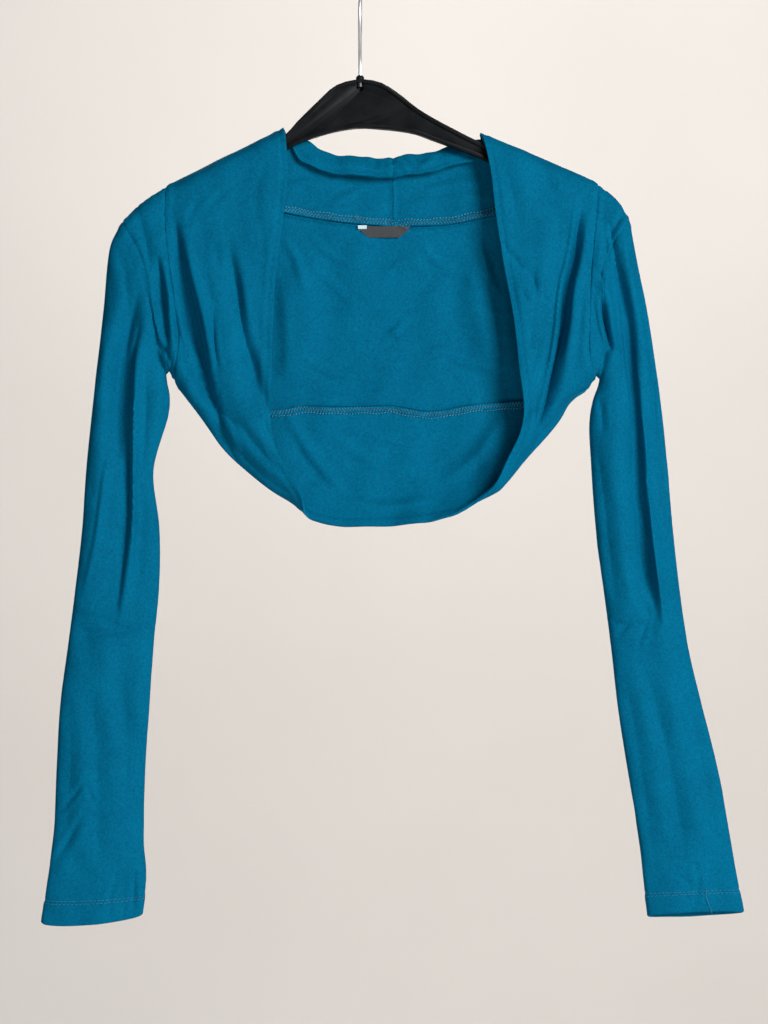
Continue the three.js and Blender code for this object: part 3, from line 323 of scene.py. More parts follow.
    ("sleeve", "front", [(243, -374), (248, -424), (252, -482)], 1.1, 4.0, 1.0),
    ("sleeve", "front", [(247, -692), (275, -698), (300, -686)], 1.1, 2.6, 1.0),
    ("sleeve", "front", [(273, -726), (287, -734), (302, -731)], 1.2, 2.2, 1.0),
    ("sleeve", "front", [(278, -722), (281, -744), (278, -761)], 1.3, 2.2, 1.0),
    ("sleeve", "front", [(253, -731), (267, -738), (278, -746)], 1.0, 2.0, 1.0),
    ("sleeve", "back", [(-200, -258), (-207, -324), (-212, -399)], 3.4, 6.0, 1.0),
    ("sleeve", "back", [(-177, -324), (-183, -399), (-185, -474)], 2.4, 5.0, 1.2),
    ("sleeve", "back", [(-223, -408), (-227, -474), (-228, -541)], 1.6, 5.0, 1.0),
    ("sleeve", "back", [(-242, -536), (-212, -529), (-175, -534)], 1.6, 2.6, 1.0),
    ("sleeve", "back", [(-238, -549), (-210, -542), (-177, -548)], 1.2, 2.4, 1.0),
    ("sleeve", "back", [(-207, -574), (-207, -641), (-213, -741)], 1.6, 6.0, 1.0),
    ("sleeve", "back", [(-233, -591), (-232, -658), (-238, -732)], 1.2, 5.0, 1.0),
    ("sleeve", "back", [(-247, -699), (-230, -679), (-208, -666)], 1.4, 2.4, 1.0),
    ("sleeve", "back", [(233, -258), (240, -324), (243, -408)], 3.2, 6.0, 1.0),
    ("sleeve", "back", [(208, -341), (217, -408), (225, -491)], 2.4, 5.0, 0.8),
    ("sleeve", "back", [(252, -424), (260, -482), (267, -541)], 1.6, 5.0, 1.0),
    ("sleeve", "back", [(210, -534), (237, -541), (270, -532)], 1.6, 2.6, 1.0),
    ("sleeve", "back", [(217, -551), (242, -554), (273, -549)], 1.2, 2.4, 1.0),
    ("sleeve", "back", [(243, -566), (257, -641), (275, -741)], 1.8, 6.0, 1.0),
    ("sleeve", "back", [(275, -582), (288, -649), (302, -732)], 1.2, 5.0, 1.0),
    ("sleeve", "back", [(242, -708), (263, -692), (288, -688)], 1.3, 2.4, 1.0),
)]


# Smooth lines.


def smooth(value, low, high):
    """0 below low, 1 above high, and a soft rise between."""
    share = np.clip((value - low) / (high - low), 0, 1)
    return share * share * (3 - 2 * share)


def through(rows, places):
    """Points of the smooth curve through rows, at places counted in rows."""
    rows = np.asarray(rows, float)
    padded = np.concatenate([[2 * rows[0] - rows[1]], rows, [2 * rows[-1] - rows[-2]]])
    places = np.atleast_1d(np.asarray(places, float))
    k = np.minimum(places.astype(int), len(rows) - 2)
    w = (places - k).reshape((-1,) + (1,) * (rows.ndim - 1))
    a, b, c, d = (padded[k + step] for step in range(4))
    gaps = [np.sqrt(np.linalg.norm(q - p, axis=-1, keepdims=True)) for p, q in ((a, b), (b, c), (c, d))]
    mid = np.where(gaps[1] < 1e-4, 1, gaps[1])
    before, after = (np.where(gap < 1e-4, mid, gap) for gap in (gaps[0], gaps[2]))
    leave = ((b - a) / before - (c - a) / (before + mid) + (c - b) / mid) * mid
    arrive = ((c - b) / mid - (d - b) / (mid + after) + (d - c) / after) * mid
    bend = 3 * (c - b) - 2 * leave - arrive
    twist = 2 * (b - c) + leave + arrive
    return b + w * (leave + w * (bend + w * twist))


def along(rows, shares):
    """Points at the given shares of the curve's length."""
    places = np.linspace(0, len(rows) - 1, 240)
    line = through(rows, places)
    run = np.concatenate([[0], np.cumsum(np.linalg.norm(np.diff(line, axis=0), axis=1))])
    return through(rows, np.interp(np.asarray(shares) * run[-1], run, places))


def even_shares(steps):
    return np.linspace(0, 1, steps + 1)


def end_shares(steps):
    return (1 - np.cos(np.pi * even_shares(steps))) / 2


# The two layers of the hung body.

SIDE_SEAM = {
    side: [ARMHOLE[side][-1], BAND_ROWS[side][SIDE_ROW].seam] for side in ("right", "left")
}


def line_height(line, x):
    """Height of a line of (x, z) points at x, carried on past its ends."""
    xs, zs = np.array(line).T
    if xs[0] > xs[-1]:
        xs, zs = xs[::-1], zs[::-1]
    k = np.clip(np.searchsorted(xs, x) - 1, 0, len(xs) - 2)
    return zs[k] + (zs[k + 1] - zs[k]) * (x - xs[k]) / (xs[k + 1] - xs[k])


def segment_distance(x, z, a, b):
    dx, dz = b[0] - a[0], b[1] - a[1]
    share = np.clip(((x - a[0]) * dx + (z - a[1]) * dz) / (dx * dx + dz * dz), 0, 1)
    return np.hypot(x - a[0] - share * dx, z - a[1] - share * dz)


def rounded(distance, radius):
    """A quarter-circle rise: 0 at the rim, 1 once the distance reaches the radius."""
    share = np.clip(distance / radius, 0, 1)
    return np.sqrt(np.maximum(1 - (1 - share) ** 2, 0))


def layer_depth(x, z, layer):
    """How far a layer of the body stands from the hanger's plane at (x, z)."""
    crest = np.minimum(line_height(SHOULDER["right"], x), line_height(SHOULDER["left"], x))
    low = smooth(-z, 170, 330) if layer == "front" else smooth(-z, 165, 225)
    drop = FRONT_DROP if layer == "front" else BACK_DROP
    full = ARM_HALF + low * (drop - ARM_HALF)
    at_side = np.minimum(
        segment_distance(x, z, *SIDE_SEAM["right"]), segment_distance(x, z, *SIDE_SEAM["left"])
    )
    return full * rounded(crest - z, CREST_ROUND) * rounded(at_side, SIDE_ROUND)


def fold_depth(x, z, part, layer):
    """How deep the large folds press a layer in at (x, z)."""
    depth = np.zeros_like(x)
    for fold in FOLDS:
        if (fold.part, fold.layer) != (part, layer):
            continue
        dx, dz = fold.end[0] - fold.start[0], fold.end[1] - fold.start[1]
        length = math.hypot(dx, dz)
        share = ((x - fold.start[0]) * dx + (z - fold.start[1]) * dz) / length**2
        aside = ((x - fold.start[0]) * dz - (z - fold.start[1]) * dx) / length
        off = aside * (1 if dz <= 0 else -1) + fold.bow * 4 * share * (1 - share)
        fade = smooth(share, 0, 0.25) * smooth(1 - share, 0, 0.25)
        depth += fold.depth * fade * np.exp(-((off / fold.width) ** 2))
    return depth


def crease_depth(x, z, part, layer):
    """How deep the finer creases press a layer in at (x, z)."""
    depth = np.zeros_like(x)
    for crease in CREASES:
        if crease.part not in (part, "both") or crease.layer != layer:
            continue
        path = through(crease.path, np.linspace(0, len(crease.path) - 1, 15))
        reach = 4 * crease.width * max(crease.lean, 1)
        low, high = path.min(axis=0) - reach, path.max(axis=0) + reach
        near = (x > low[0]) & (x < high[0]) & (z > low[1]) & (z < high[1])
        if not near.any():
            continue
        px, pz = x[near], z[near]
        best = np.full(px.shape, 1e9)
        side = np.zeros_like(px)
        place = np.zeros_like(px)
        for k in range(len(path) - 1):
            (ax, az), (bx, bz) = path[k], path[k + 1]
            dx, dz = bx - ax, bz - az
            share = np.clip(((px - ax) * dx + (pz - az) * dz) / (dx * dx + dz * dz), 0, 1)
            gap = np.hypot(px - ax - share * dx, pz - az - share * dz)
            closer = gap < best
            best = np.where(closer, gap, best)
            side = np.where(closer, np.sign((px - ax) * dz - (pz - az) * dx), side)
            place = np.where(closer, (k + share) / (len(path) - 1), place)
        width = np.where(side > 0, crease.width * crease.lean, crease.width)
        lip = 0.28 * np.exp(-(((best - 2.1 * width) / (1.1 * width)) ** 2))
        fade = np.sin(np.pi * np.clip(place, 0.004, 0.996)) ** 0.7
        depth[near] += crease.depth * fade * (np.exp(-((best / width) ** SHARPNESS)) - lip)
    return depth


# Long faint waves in the cloth: direction in degrees from the hang, length, height, phase.
WAVES = {
    "front": ((8, 31, 0.42, 0.4), (-14, 47, 0.5, 2.1), (27, 22, 0.2, 4.0), (-33, 63, 0.45, 5.2)),
    "back": ((-10, 37, 0.4, 1.2), (17, 55, 0.5, 3.4), (-31, 26, 0.2, 0.7), (52, 71, 0.4, 2.8)),
}


def waves(x, z, layer):
    total = np.zeros_like(x)
    for degrees, length, height, phase in WAVES[layer]:
        turn = math.radians(degrees)
        across = x * math.cos(turn) + z * math.sin(turn)
        down = z * math.cos(turn) - x * math.sin(turn)
        sway = 0.9 * np.sin(2 * np.pi * down / (3.1 * length) + 1.7 * phase)
        total += height * np.sin(2 * np.pi * across / length + phase + sway)
    return total


def on_layer(xz, layer):
    """Points of a panel: y follows from the layer that they lie on."""
    x, z = xz[..., 0], xz[..., 1]
    depth = layer_depth(x, z, layer)
    y = np.maximum(depth - fold_depth(x, z, "body", layer) * np.minimum(depth / ARM_HALF, 1), 0)
    return np.stack([x, -y if layer == "front" else y, z], axis=-1)


# Grids of points for the pieces.


def row_places(rows, first, last):
    """Fine places from one row of the band to another, counted in rows."""
    places = []
    for k in range(first, last):
        places.extend(k + np.arange(rows[k].steps * FINE) / (rows[k].steps * FINE))
    return np.array(places + [last])


def seams_of(side):
    """The seam lines of a side, as rows of (x, z) that the pieces beside a seam share."""
    rows = BAND_ROWS[side]
    stretch = lambda first, last: through([row.seam for row in rows], row_places(rows, first, last))
    return {
        "collar": stretch(0, SHOULDER_ROW),
        "front": stretch(SHOULDER_ROW, SIDE_ROW),
        "hem": stretch(SIDE_ROW, len(rows) - 1),
        "shoulder": along(SHOULDER[side][1:], even_shares(SHOULDER_STEPS * FINE)),
        "armhole": along(ARMHOLE[side], end_shares(ARMHOLE_STEPS * FINE)),
        "side": along(SIDE_SEAM[side], even_shares(SHOULDER_STEPS * FINE)),
    }


def panel_grid(top, bottom, start, end, layer):
    """A panel filled in between four seam lines, then laid on its layer."""
    u = np.linspace(0, 1, len(top))[None, :, None]
    v = np.linspace(0, 1, len(start))[:, None, None]
    filled = (
        (1 - v) * top[None] + v * bottom[None] + (1 - u) * start[:, None] + u * end[:, None]
        - (1 - u) * (1 - v) * top[0] - u * (1 - v) * top[-1]
        - (1 - u) * v * bottom[0] - u * v * bottom[-1]
    )
    return on_layer(filled, layer)


def band_grid(side):
    """The band: sections from its folded edge to its seam, from the nape to the hem."""
    rows = BAND_ROWS[side]
    places = row_places(rows, 0, len(rows) - 1)
    edge = through([row.edge for row in rows], places)
    turn = through([row.turn for row in rows], places)
    seam = through([row.seam for row in rows], places)
    on_back = (places < SHOULDER_ROW) | (places > SIDE_ROW)
    seam = np.where(on_back[:, None], on_layer(seam, "back"), on_layer(seam, "front"))
    share = np.interp(places, np.arange(len(rows)), [row.share for row in rows])[:, None, None]
    v = even_shares(BAND_CROSS)[None, :, None]
    grid = (
        (v - share) * (v - 1) / share * edge[:, None]
        + v * (v - 1) / (share * (share - 1)) * turn[:, None]
        + v * (v - share) / (1 - share) * seam[:, None]
    )
    inside = (smooth(v, 0, 0.15) * smooth(1 - v, 0, 0.12))[..., 0]
    x, y, z = grid[..., 0], grid[..., 1], grid[..., 2]
    front = np.minimum(y + inside * fold_depth(x, z, "body", "front") * np.minimum(-y / ARM_HALF, 1), 0)
    back = np.maximum(y - inside * fold_depth(x, z, "body", "back") * np.minimum(y / ARM_HALF, 1), 0)
    grid[..., 1] = np.where(y < 0, front, back)
    return grid


def sleeve_ring(row, sag):
    """One ring of a sleeve, sagging at its middle in front and behind."""
    around = 2 * ARMHOLE_STEPS * FINE
    angle = 2 * np.pi * np.arange(around) / around
    across = (1 - np.cos(angle)) / 2
    reach = np.abs(np.sin(angle))
    front = angle < np.pi
    bow = row.bow * reach * np.sign(row.inner[0] - row.outer[0])
    x = row.outer[0] + across * (row.inner[0] - row.outer[0]) + bow
    hang = np.where(front, sag["front"], sag["back"]) * reach
    z = row.outer[1] + across * (row.inner[1] - row.outer[1]) - hang
    y = np.where(front, -row.front, row.back) * reach**0.8
    return np.stack([x, y, z], axis=-1)


def sleeve_grid(side, armhole):
    """A sleeve: rings from the armhole to the cuff. A ring starts at its outer end and
    runs over the front to its inner end and back behind."""
    rows = SLEEVE_ROWS[side]
    front, back = on_layer(armhole, "front"), on_layer(armhole, "back")[::-1]
    level = {"front": 0, "back": 0}
    rings = [np.concatenate([front, back[1:-1]])]
    rings += [sleeve_ring(row, CUFF_SAG[side] if row is rows[-1] else level) for row in rows]
    middle = [(ring[0] + ring[len(ring) // 2]) / 2 for ring in rings]
    run = np.concatenate([[0], np.cumsum(np.linalg.norm(np.diff(middle, axis=0), axis=1))])
    count = int(run[-1] / SLEEVE_PITCH)
    places = np.interp(np.linspace(0, run[-1], count), run, np.arange(len(rings)))
    grid = through(np.array(rings), places)
    reach = np.abs(np.sin(2 * np.pi * np.arange(len(rings[0])) / len(rings[0]))) ** 0.5
    x, y, z = grid[..., 0], grid[..., 1], grid[..., 2]
    pressed = reach * np.where(
        y < 0, fold_depth(x, z, "sleeve", "front"), fold_depth(x, z, "sleeve", "back")
    )
    pressed = np.minimum(pressed, np.maximum(np.abs(y) - 1.5 * reach, 0))
    pressed[0] = 0
    grid[..., 1] = y - np.sign(y) * pressed
    return grid


# From a grid to a mesh.


def grid_normals(grid, ring=False):
    """The direction that a grid faces at each of its points."""
    if ring:
        across = np.roll(grid, -1, axis=1) - np.roll(grid, 1, axis=1)
    else:
        across = np.gradient(grid, axis=1)
    down = np.gradient(grid, axis=0)
    normals = np.cross(across, down)
    return normals / np.maximum(np.linalg.norm(normals, axis=-1, keepdims=True), 1e-9)


def runs(grid, axis):
    """Length along a grid from its first row or column."""
    steps = np.linalg.norm(np.diff(grid, axis=axis), axis=-1)
    start = np.zeros_like(np.take(steps, [0], axis=axis))
    return np.concatenate([start, np.cumsum(steps, axis=axis)], axis=axis)


def seam_dip(distance, run, phase, depth=0.9, pucker=0.3):
    """How a seam draws the cloth in: a narrow dip, the ridge of the allowance under it,
    and small uneven puckers beside it."""
    ripple = np.sin(2 * np.pi * run / 8.3 + phase) * np.sin(2 * np.pi * run / 21.7 + 2.3 * phase)
    dip = depth * np.exp(-((distance / 1.5) ** 2)) - 0.3 * np.exp(-(((distance - 4) / 1.8) ** 2))
    return dip + pucker * ripple * np.exp(-((distance / 6) ** 2))


def creased(grid, normals, part):
    """The grid with its fine creases and waves, pressed in from both sides of the cloth."""
    x, y, z = grid[..., 0], grid[..., 1], grid[..., 2]
    toward_front = smooth(-y, -2, 2)
    # The waves die out at the outline, where the cloth turns edge on.
    flat_on = smooth(np.abs(normals[..., 1]), 0.05, 0.6)
    pressed = toward_front * crease_depth(x, z, part, "front")
    pressed += (1 - toward_front) * crease_depth(x, z, part, "back")
    swell = toward_front * waves(x, z, "front") + (1 - toward_front) * waves(x, z, "back")
    deepest = np.maximum(np.abs(y) - 1, 0)
    moved = grid - normals * (swell * flat_on)[..., None]
    # A crease never passes the cloth behind it, and keeps its own bottom as it nears that.
    over = np.maximum(pressed, 0) / np.maximum(deepest, 0.1)
    moved[..., 1] -= np.sign(y) * pressed / (1 + over**4) ** 0.25
    return moved


def cloth_mesh(name, grid, thickness, ring=False, rim=0.5):
    """A thin shell over a grid of points, with a UV map in metres along its rows."""
    rows, columns = grid.shape[:2]
    index = np.arange(rows * columns).reshape(rows, columns)
    if ring:
        index = np.concatenate([index, index[:, :1]], axis=1)
    a, b = index[:-1, :-1], index[:-1, 1:]
    c, d = index[1:, 1:], index[1:, :-1]
    faces = np.stack([a, b, c, d], axis=-1).reshape(-1, 4)
    mesh = bpy.data.meshes.new(name)
    mesh.from_pydata((grid.reshape(-1, 3) * MM).tolist(), [], faces.tolist())
    closed = np.concatenate([grid, grid[:, :1]], axis=1) if ring else grid
    width = runs(closed, 1)
    width = width * width[:, -1].mean() / np.maximum(width[:, -1:], 1e-6)
    length = runs(closed, 0)
    u, v = width * MM, length * MM
    corners = [(slice(None, -1), slice(None, -1)), (slice(None, -1), slice(1, None)),
               (slice(1, None), slice(1, None)), (slice(1, None), slice(None, -1))]
    uv = np.stack([np.stack([u[s], v[s]], axis=-1) for s in corners], axis=2).reshape(-1, 2)
    layer = mesh.uv_layers.new(name="UVMap")
    layer.data.foreach_set("uv", uv.ravel().astype(np.float32))
    mesh.shade_smooth()
    piece = bpy.data.objects.new(name, mesh)
    bpy.context.collection.objects.link(piece)
    thicken = piece.modifiers.new("wall", "SOLIDIFY")
    thicken.thickness = thickness * MM
    thicken.offset = 0
    round_off = piece.modifiers.new("rim", "BEVEL")
    round_off.width = rim * thickness * MM
    round_off.segments = 3
    round_off.limit_method = "ANGLE"
    round_off.angle_limit = math.radians(65)
    apply_modifiers(piece)
    return piece


def apply_modifiers(piece):
    bpy.ops.object.select_all(action="DESELECT")
    bpy.context.view_layer.objects.active = piece
    piece.select_set(True)
    for modifier in list(piece.modifiers):
        bpy.ops.object.modifier_apply(modifier=modifier.name)
    piece.select_set(False)


def thread_mesh(name, paths, radius, sides=5):
    """Threads joined in one mesh: a round tube along each path of points."""
    verts, faces = [], []
    angles = 2 * np.pi * np.arange(sides) / sides
    for path in paths:
        path = np.asarray(path, float)
        tangent = np.gradient(path, axis=0)
        tangent /= np.maximum(np.linalg.norm(tangent, axis=1, keepdims=True), 1e-9)
        side = np.cross(tangent, [0.13, 1.0, 0.21])
        side /= np.maximum(np.linalg.norm(side, axis=1, keepdims=True), 1e-9)
        up = np.cross(side, tangent)
        start = len(verts)
        for k in range(len(path)):
            for angle in angles:
                verts.append(path[k] + radius * (math.cos(angle) * side[k] + math.sin(angle) * up[k]))
        for k in range(len(path) - 1):
            for s in range(sides):
                a, b = start + k * sides + s, start + k * sides + (s + 1) % sides
                faces.append((a, b, b + sides, a + sides))
        faces.append(tuple(start + s for s in reversed(range(sides))))
        faces.append(tuple(start + (len(path) - 1) * sides + s for s in range(sides)))
    mesh = bpy.data.meshes.new(name)
    mesh.from_pydata((np.array(verts) * MM).tolist(), [], faces)
    mesh.shade_smooth()
    work = bmesh.new()
    work.from_mesh(mesh)
    bmesh.ops.recalc_face_normals(work, faces=work.faces)
    work.to_mesh(mesh)
    work.free()
    piece = bpy.data.objects.new(name, mesh)
    bpy.context.collection.objects.link(piece)
    return piece


def on_grid(grid, row, column):
    """Points between the points of a grid, at rows and columns that may be fractions."""
    row = np.clip(row, 0, grid.shape[0] - 1.001)
    column = np.clip(column, 0, grid.shape[1] - 1.001)
    j, i = row.astype(int), column.astype(int)
    v, u = (row - j)[:, None], (column - i)[:, None]
    return (
        (1 - v) * ((1 - u) * grid[j, i] + u * grid[j, i + 1])
        + v * ((1 - u) * grid[j + 1, i] + u * grid[j + 1, i + 1])
    )


# The pieces of cloth.

SEAMS = {side: seams_of(side) for side in ("right", "left")}


def sewn_panel(grid, normals, phase):
    """Draws a panel in along its four seams."""
    down, across = runs(grid, 0), runs(grid, 1)
    dip = (
        seam_dip(down, across, phase) + seam_dip(down[-1:] - down, across, phase + 1)
        + seam_dip(across, down, phase + 2) + seam_dip(across[:, -1:] - across, down, phase + 3)
    )
    return grid - normals * dip[..., None]


def facing(normals, grid, outward):
    """The normals turned so that they look outward on the whole."""
    return normals if (normals * outward).sum(axis=-1).mean() > 0 else -normals


def front_panel(side):
    seams = SEAMS[side]
    grid = panel_grid(seams["shoulder"][::-1], seams["side"], seams["armhole"], seams["front"], "front")
    normals = facing(grid_normals(grid), grid, np.array([0, -1, 0]))
    grid = creased(grid, normals, "body")
    return sewn_panel(grid, normals, 0.7 if side == "right" else 2.9)


def back_panel():
    right, left = SEAMS["right"], SEAMS["left"]
    top = np.concatenate([
        right["shoulder"][::-1], right["collar"][::-1][1:], left["collar"][1:], left["shoulder"][1:]
    ])
    bottom = np.concatenate([right["hem"], left["hem"][::-1][1:]])
    start = np.concatenate([right["armhole"], right["side"][1:]])
    end = np.concatenate([left["armhole"], left["side"][1:]])
    grid = panel_grid(top, bottom, start, end, "back")
    normals = facing(grid_normals(grid), grid, np.array([0, 1, 0]))
    grid = creased(grid, normals, "body")
    return sewn_panel(grid, normals, 1.3)


def collar_ripple(grid):
    """The uneven crest of the collar: low waves that die out down the stand and the roll."""
    x, z = grid[..., 0], grid[..., 2]
    at_nape = smooth(x, -58, -40) * smooth(-x, -96, -80)
    crest = smooth(z, -172, -140)
    wave = np.sin(x / 3.7) * np.sin(x / 9.1 + 0.6) + 0.8 * np.sin(x / 6.3 + 1.9)
    return 0.7 * wave * at_nape * crest


def band():
    """The band: one loop from the nape down the right side, through the hem and back up,
    with its free edge folded over and its seam drawn in."""
    grid = np.concatenate([band_grid("right"), band_grid("left")[::-1][1:]])
    grid[..., 2] += collar_ripple(grid)
    normals = grid_normals(grid)
    front = grid[..., 1] < -6
    normals = normals if normals[front][:, 1].mean() < 0 else -normals
    grid = creased(grid, normals, "body")
    across, down = runs(grid, 1), runs(grid, 0)
    dip = seam_dip(across[:, -1:] - across, down, 4.1, 0.6, 0.35)
    dip += seam_dip(down, across, 0.4, 0.7, 0.5) + seam_dip(down[-1:] - down, across, 2.2, 0.7, 0.5)
    # A soft ridge a few millimetres inside the folded edge, where the two layers part.
    dip += 0.35 * np.exp(-(((across - 4.5) / 1.6) ** 2)) - 0.3 * np.exp(-(((across - 8) / 2.4) ** 2))
    grid = grid - normals * dip[..., None]
    return grid, normals


def sleeve(side):
    """A sleeve with its cuff turned in and stitched."""
    grid = sleeve_grid(side, SEAMS[side]["armhole"])
    normals = grid_normals(grid, ring=True)
    centre = grid.mean(axis=1, keepdims=True)
    normals = facing(normals, grid, grid - centre)
    grid = creased(grid, normals, "sleeve")
    down = runs(grid, 0)
    around = runs(grid, 1)
    dip = seam_dip(down, around, 1.9, 0.5, 0.35)
    up = down[-1:] - down
    # The turned hem is thicker, with a groove where it is stitched.
    dip += 0.5 * np.exp(-(((up - CUFF_HEM) / 1.5) ** 2)) - 0.35 * smooth(-up, -CUFF_HEM, -CUFF_HEM + 2)
    ripple = np.sin(around / 2.9 + 1.3 * np.sin(around / 11))
    dip += 0.22 * ripple * np.exp(-(((up - CUFF_HEM + 2) / 5) ** 2))
    # The long seam under the arm.
    seam = np.exp(-(((around - around[:, len(around[0]) // 2][:, None]) / 1.6) ** 2))
    dip += 0.45 * seam * smooth(down, 0, 20)
    return grid - normals * dip[..., None], normals


def turned_in(grid, normals):
    """Carries a sleeve's rings round the cuff's edge and up inside it."""
    up = (runs(grid, 0)[-1:] - runs(grid, 0)).mean(axis=1)
    inside = np.nonzero(up < CUFF_HEM)[0][::-1]
    gap = 1.5 * JERSEY
    turn = grid[-1] - normals[-1] * gap / 2 + np.array([0, 0, -gap / 2])
    hem = grid[inside] - normals[inside] * gap
    return np.concatenate([grid, turn[None], hem])


def cloth_pieces():
    """Makes every piece of cloth, and keeps the grids that the sewing is laid on."""
    covers, kept = {}, {}
    for side in ("right", "left"):
        grid, normals = sleeve(side)
        kept[f"sleeve_{side}"] = (grid, normals)
        covers[f"sleeve_{side}"] = cloth_mesh(
            f"jersey_sleeve_{side}", turned_in(grid, normals), JERSEY, ring=True
        )
        covers[f"front_panel_{side}"] = cloth_mesh(
            f"jersey_front_{side}", front_panel(side), JERSEY
        )
    kept["band"] = band()
    covers["band"] = cloth_mesh("jersey_band", kept["band"][0], BAND)
    covers["back_panel"] = cloth_mesh("jersey_back", back_panel(), JERSEY)
    return covers, kept


COVERS, GRIDS = cloth_pieces()

# Sewing.

ALLOWANCE = 6  # width of the seam allowance that shows inside
ALLOWANCE_WALL = 0.9
COLLAR_STEPS = sum(row.steps for row in BAND_ROWS["right"][:SHOULDER_ROW]) * FINE
SIDE_STEPS = sum(row.steps for row in BAND_ROWS["right"][:SIDE_ROW]) * FINE


def inside_band(rows, distance, lift):
    """Points on the inside of the band: at rows of its grid, a distance from its seam,
    and lifted off the cloth's middle."""
    grid, normals = GRIDS["band"]
    rows = np.asarray(rows, float)
    nearest = grid[np.round(rows).astype(int)]
    across = runs(nearest, 1)
    from_seam = across[:, -1:] - across
    distance = np.broadcast_to(distance, rows.shape)
    columns = np.array([
        np.interp(d, line[::-1], np.arange(len(line))[::-1]) for d, line in zip(distance, from_seam)
    ])
    lift = np.broadcast_to(lift, rows.shape)[:, None]
    return on_grid(grid, rows, columns) - on_grid(normals, rows, columns) * lift


def allowance(name, stretches):
    """The raw edges of a seam, pressed onto the band and standing a little off it."""
    grids = []
    for rows in stretches:
        ripple = 0.35 * np.sin(rows / 3.1) * np.sin(rows / 7.7 + 1)
        lines = [
            inside_band(rows, distance, BAND / 2 + lift + ripple)
            for distance, lift in ((0.4, 1.3), (2, 1.1), (4, 0.8), (ALLOWANCE, 0.55))
        ]
        grids.append(np.stack(lines, axis=1))
    return cloth_mesh(name, np.concatenate(grids), ALLOWANCE_WALL, rim=0.4)


def overlock(name, stretches, stitch):
    """Overlock stitching over an allowance: a slanting zigzag and the loops at its edge."""
    paths = []
    for rows in stretches:
        line = inside_band(rows, ALLOWANCE / 2, 0)
        run = np.concatenate([[0], np.cumsum(np.linalg.norm(np.diff(line, axis=0), axis=1))])
        count = int(run[-1] / stitch) * 2
        spots = np.interp(np.arange(count) * stitch / 2, run, rows)
        wander = 0.5 * np.sin(np.arange(count) / 7.3) + 0.35 * np.sin(np.arange(count) / 2.9)
        out = np.where(np.arange(count) % 2 == 0, 1.0, ALLOWANCE - 1.4) + wander
        paths.append(inside_band(spots, out, BAND / 2 + 1.75))
        for k in range(0, count - 2, 2):
            ends = np.linspace(spots[k], spots[min(k + 1, count - 1)], 3)
            height = BAND / 2 + np.array([1.1, 1.65, 1.1])
            paths.append(inside_band(ends, ALLOWANCE + 0.1 + 0.4 * np.sin(k / 3), height))
    return thread_mesh(name, paths, 0.24, sides=4)


def cuff_stitches(side):
    """The row of stitches that holds a turned cuff."""
    grid, normals = GRIDS[f"sleeve_{side}"]
    up = (runs(grid, 0)[-1:] - runs(grid, 0)).mean(axis=1)
    paths = []
    for height, length, gap in ((CUFF_HEM, 2.4, 1.1), (CUFF_HEM - 2.4, 2.4, 1.1)):
        row = np.interp(-height, -up, np.arange(len(up)))
        closed = np.concatenate([grid, grid[:, :1]], axis=1)
        facing_out = np.concatenate([normals, normals[:, :1]], axis=1)
        line = on_grid(closed, np.full(closed.shape[1], row), np.arange(closed.shape[1]).astype(float))
        run = np.concatenate([[0], np.cumsum(np.linalg.norm(np.diff(line, axis=0), axis=1))])
        for start in np.arange(0, run[-1] - length, length + gap):
            place = np.linspace(start, start + length, 4)
            column = np.interp(place, run, np.arange(len(run)))
            rows = np.full(4, row)
            lift = JERSEY / 2 + np.array([-0.15, 0.2, 0.2, -0.15])
            paths.append(
                on_grid(closed, rows, column) + on_grid(facing_out, rows, column) * lift[:, None]
            )
    return thread_mesh(f"cuff_stitches_{side}", paths, 0.2, sides=4)


BAND_END = len(GRIDS["band"][0]) - 1
COLLAR_ROWS = [
    np.arange(BAND_END - COLLAR_STEPS + 2, BAND_END + 1).astype(float),
    np.arange(0, COLLAR_STEPS - 1).astype(float),
]
HEM_ROWS = [np.arange(SIDE_STEPS + 2, BAND_END - SIDE_STEPS - 1).astype(float)]
SEWING = {
    "collar_allowance": allowance("collar_allowance", COLLAR_ROWS),
    "hem_allowance": allowance("hem_allowance", HEM_ROWS),
}
THREADS = {
    "overlock_collar": overlock("overlock_collar", COLLAR_ROWS, 2.7),
    "overlock_hem": overlock("overlock_hem", HEM_ROWS, 2.5),
    "cuff_stitches_right": cuff_stitches("right"),
    "cuff_stitches_left": cuff_stitches("left"),
}


# Labels.


def tongue(left, right, top, drop, corner, lift):
    """The points of a label that hangs in front of the back panel."""
    v, u = even_shares(12)[:, None], even_shares(40)[None, :]
    nip = corner * v**1.6
    x = left + nip + u * (right - left - 2 * nip)
    z = top - v * drop + 0 * x
    y = on_layer(np.stack([x, z], axis=-1), "back")[..., 1] - 1 - lift
    y += 0.5 * np.sin(x / 6.5) * v + 0.4 * v
    return np.stack([x, y, z], axis=-1)


def label(name, node_name, tongues):
    """A label of one or more tongues, sewn in the collar seam."""
    parts = [cloth_mesh(name, points, LABEL, rim=0.4) for points in tongues]
    bpy.ops.object.select_all(action="DESELECT")
    for part in parts:
        part.select_set(True)
    bpy.context.view_layer.objects.active = parts[0]
    if len(parts) > 1:
        bpy.ops.object.join()
    parts[0].select_set(False)
    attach(parts[0], "root")
    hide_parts(node_name)
    return parts[0]


neck_label = label("woven_neck_label", "neck_label", [tongue(-1.7, 41.7, LABEL_TOP, 9.4, 9, 1.3)])
care_label = label("care_ribbon", "care_label", [
    tongue(-1, 40, LABEL_TOP, 3.4, 0, 0.3), tongue(-1.9, 5.6, LABEL_TOP + 0.6, 2.9, 0.2, 2.3),
])


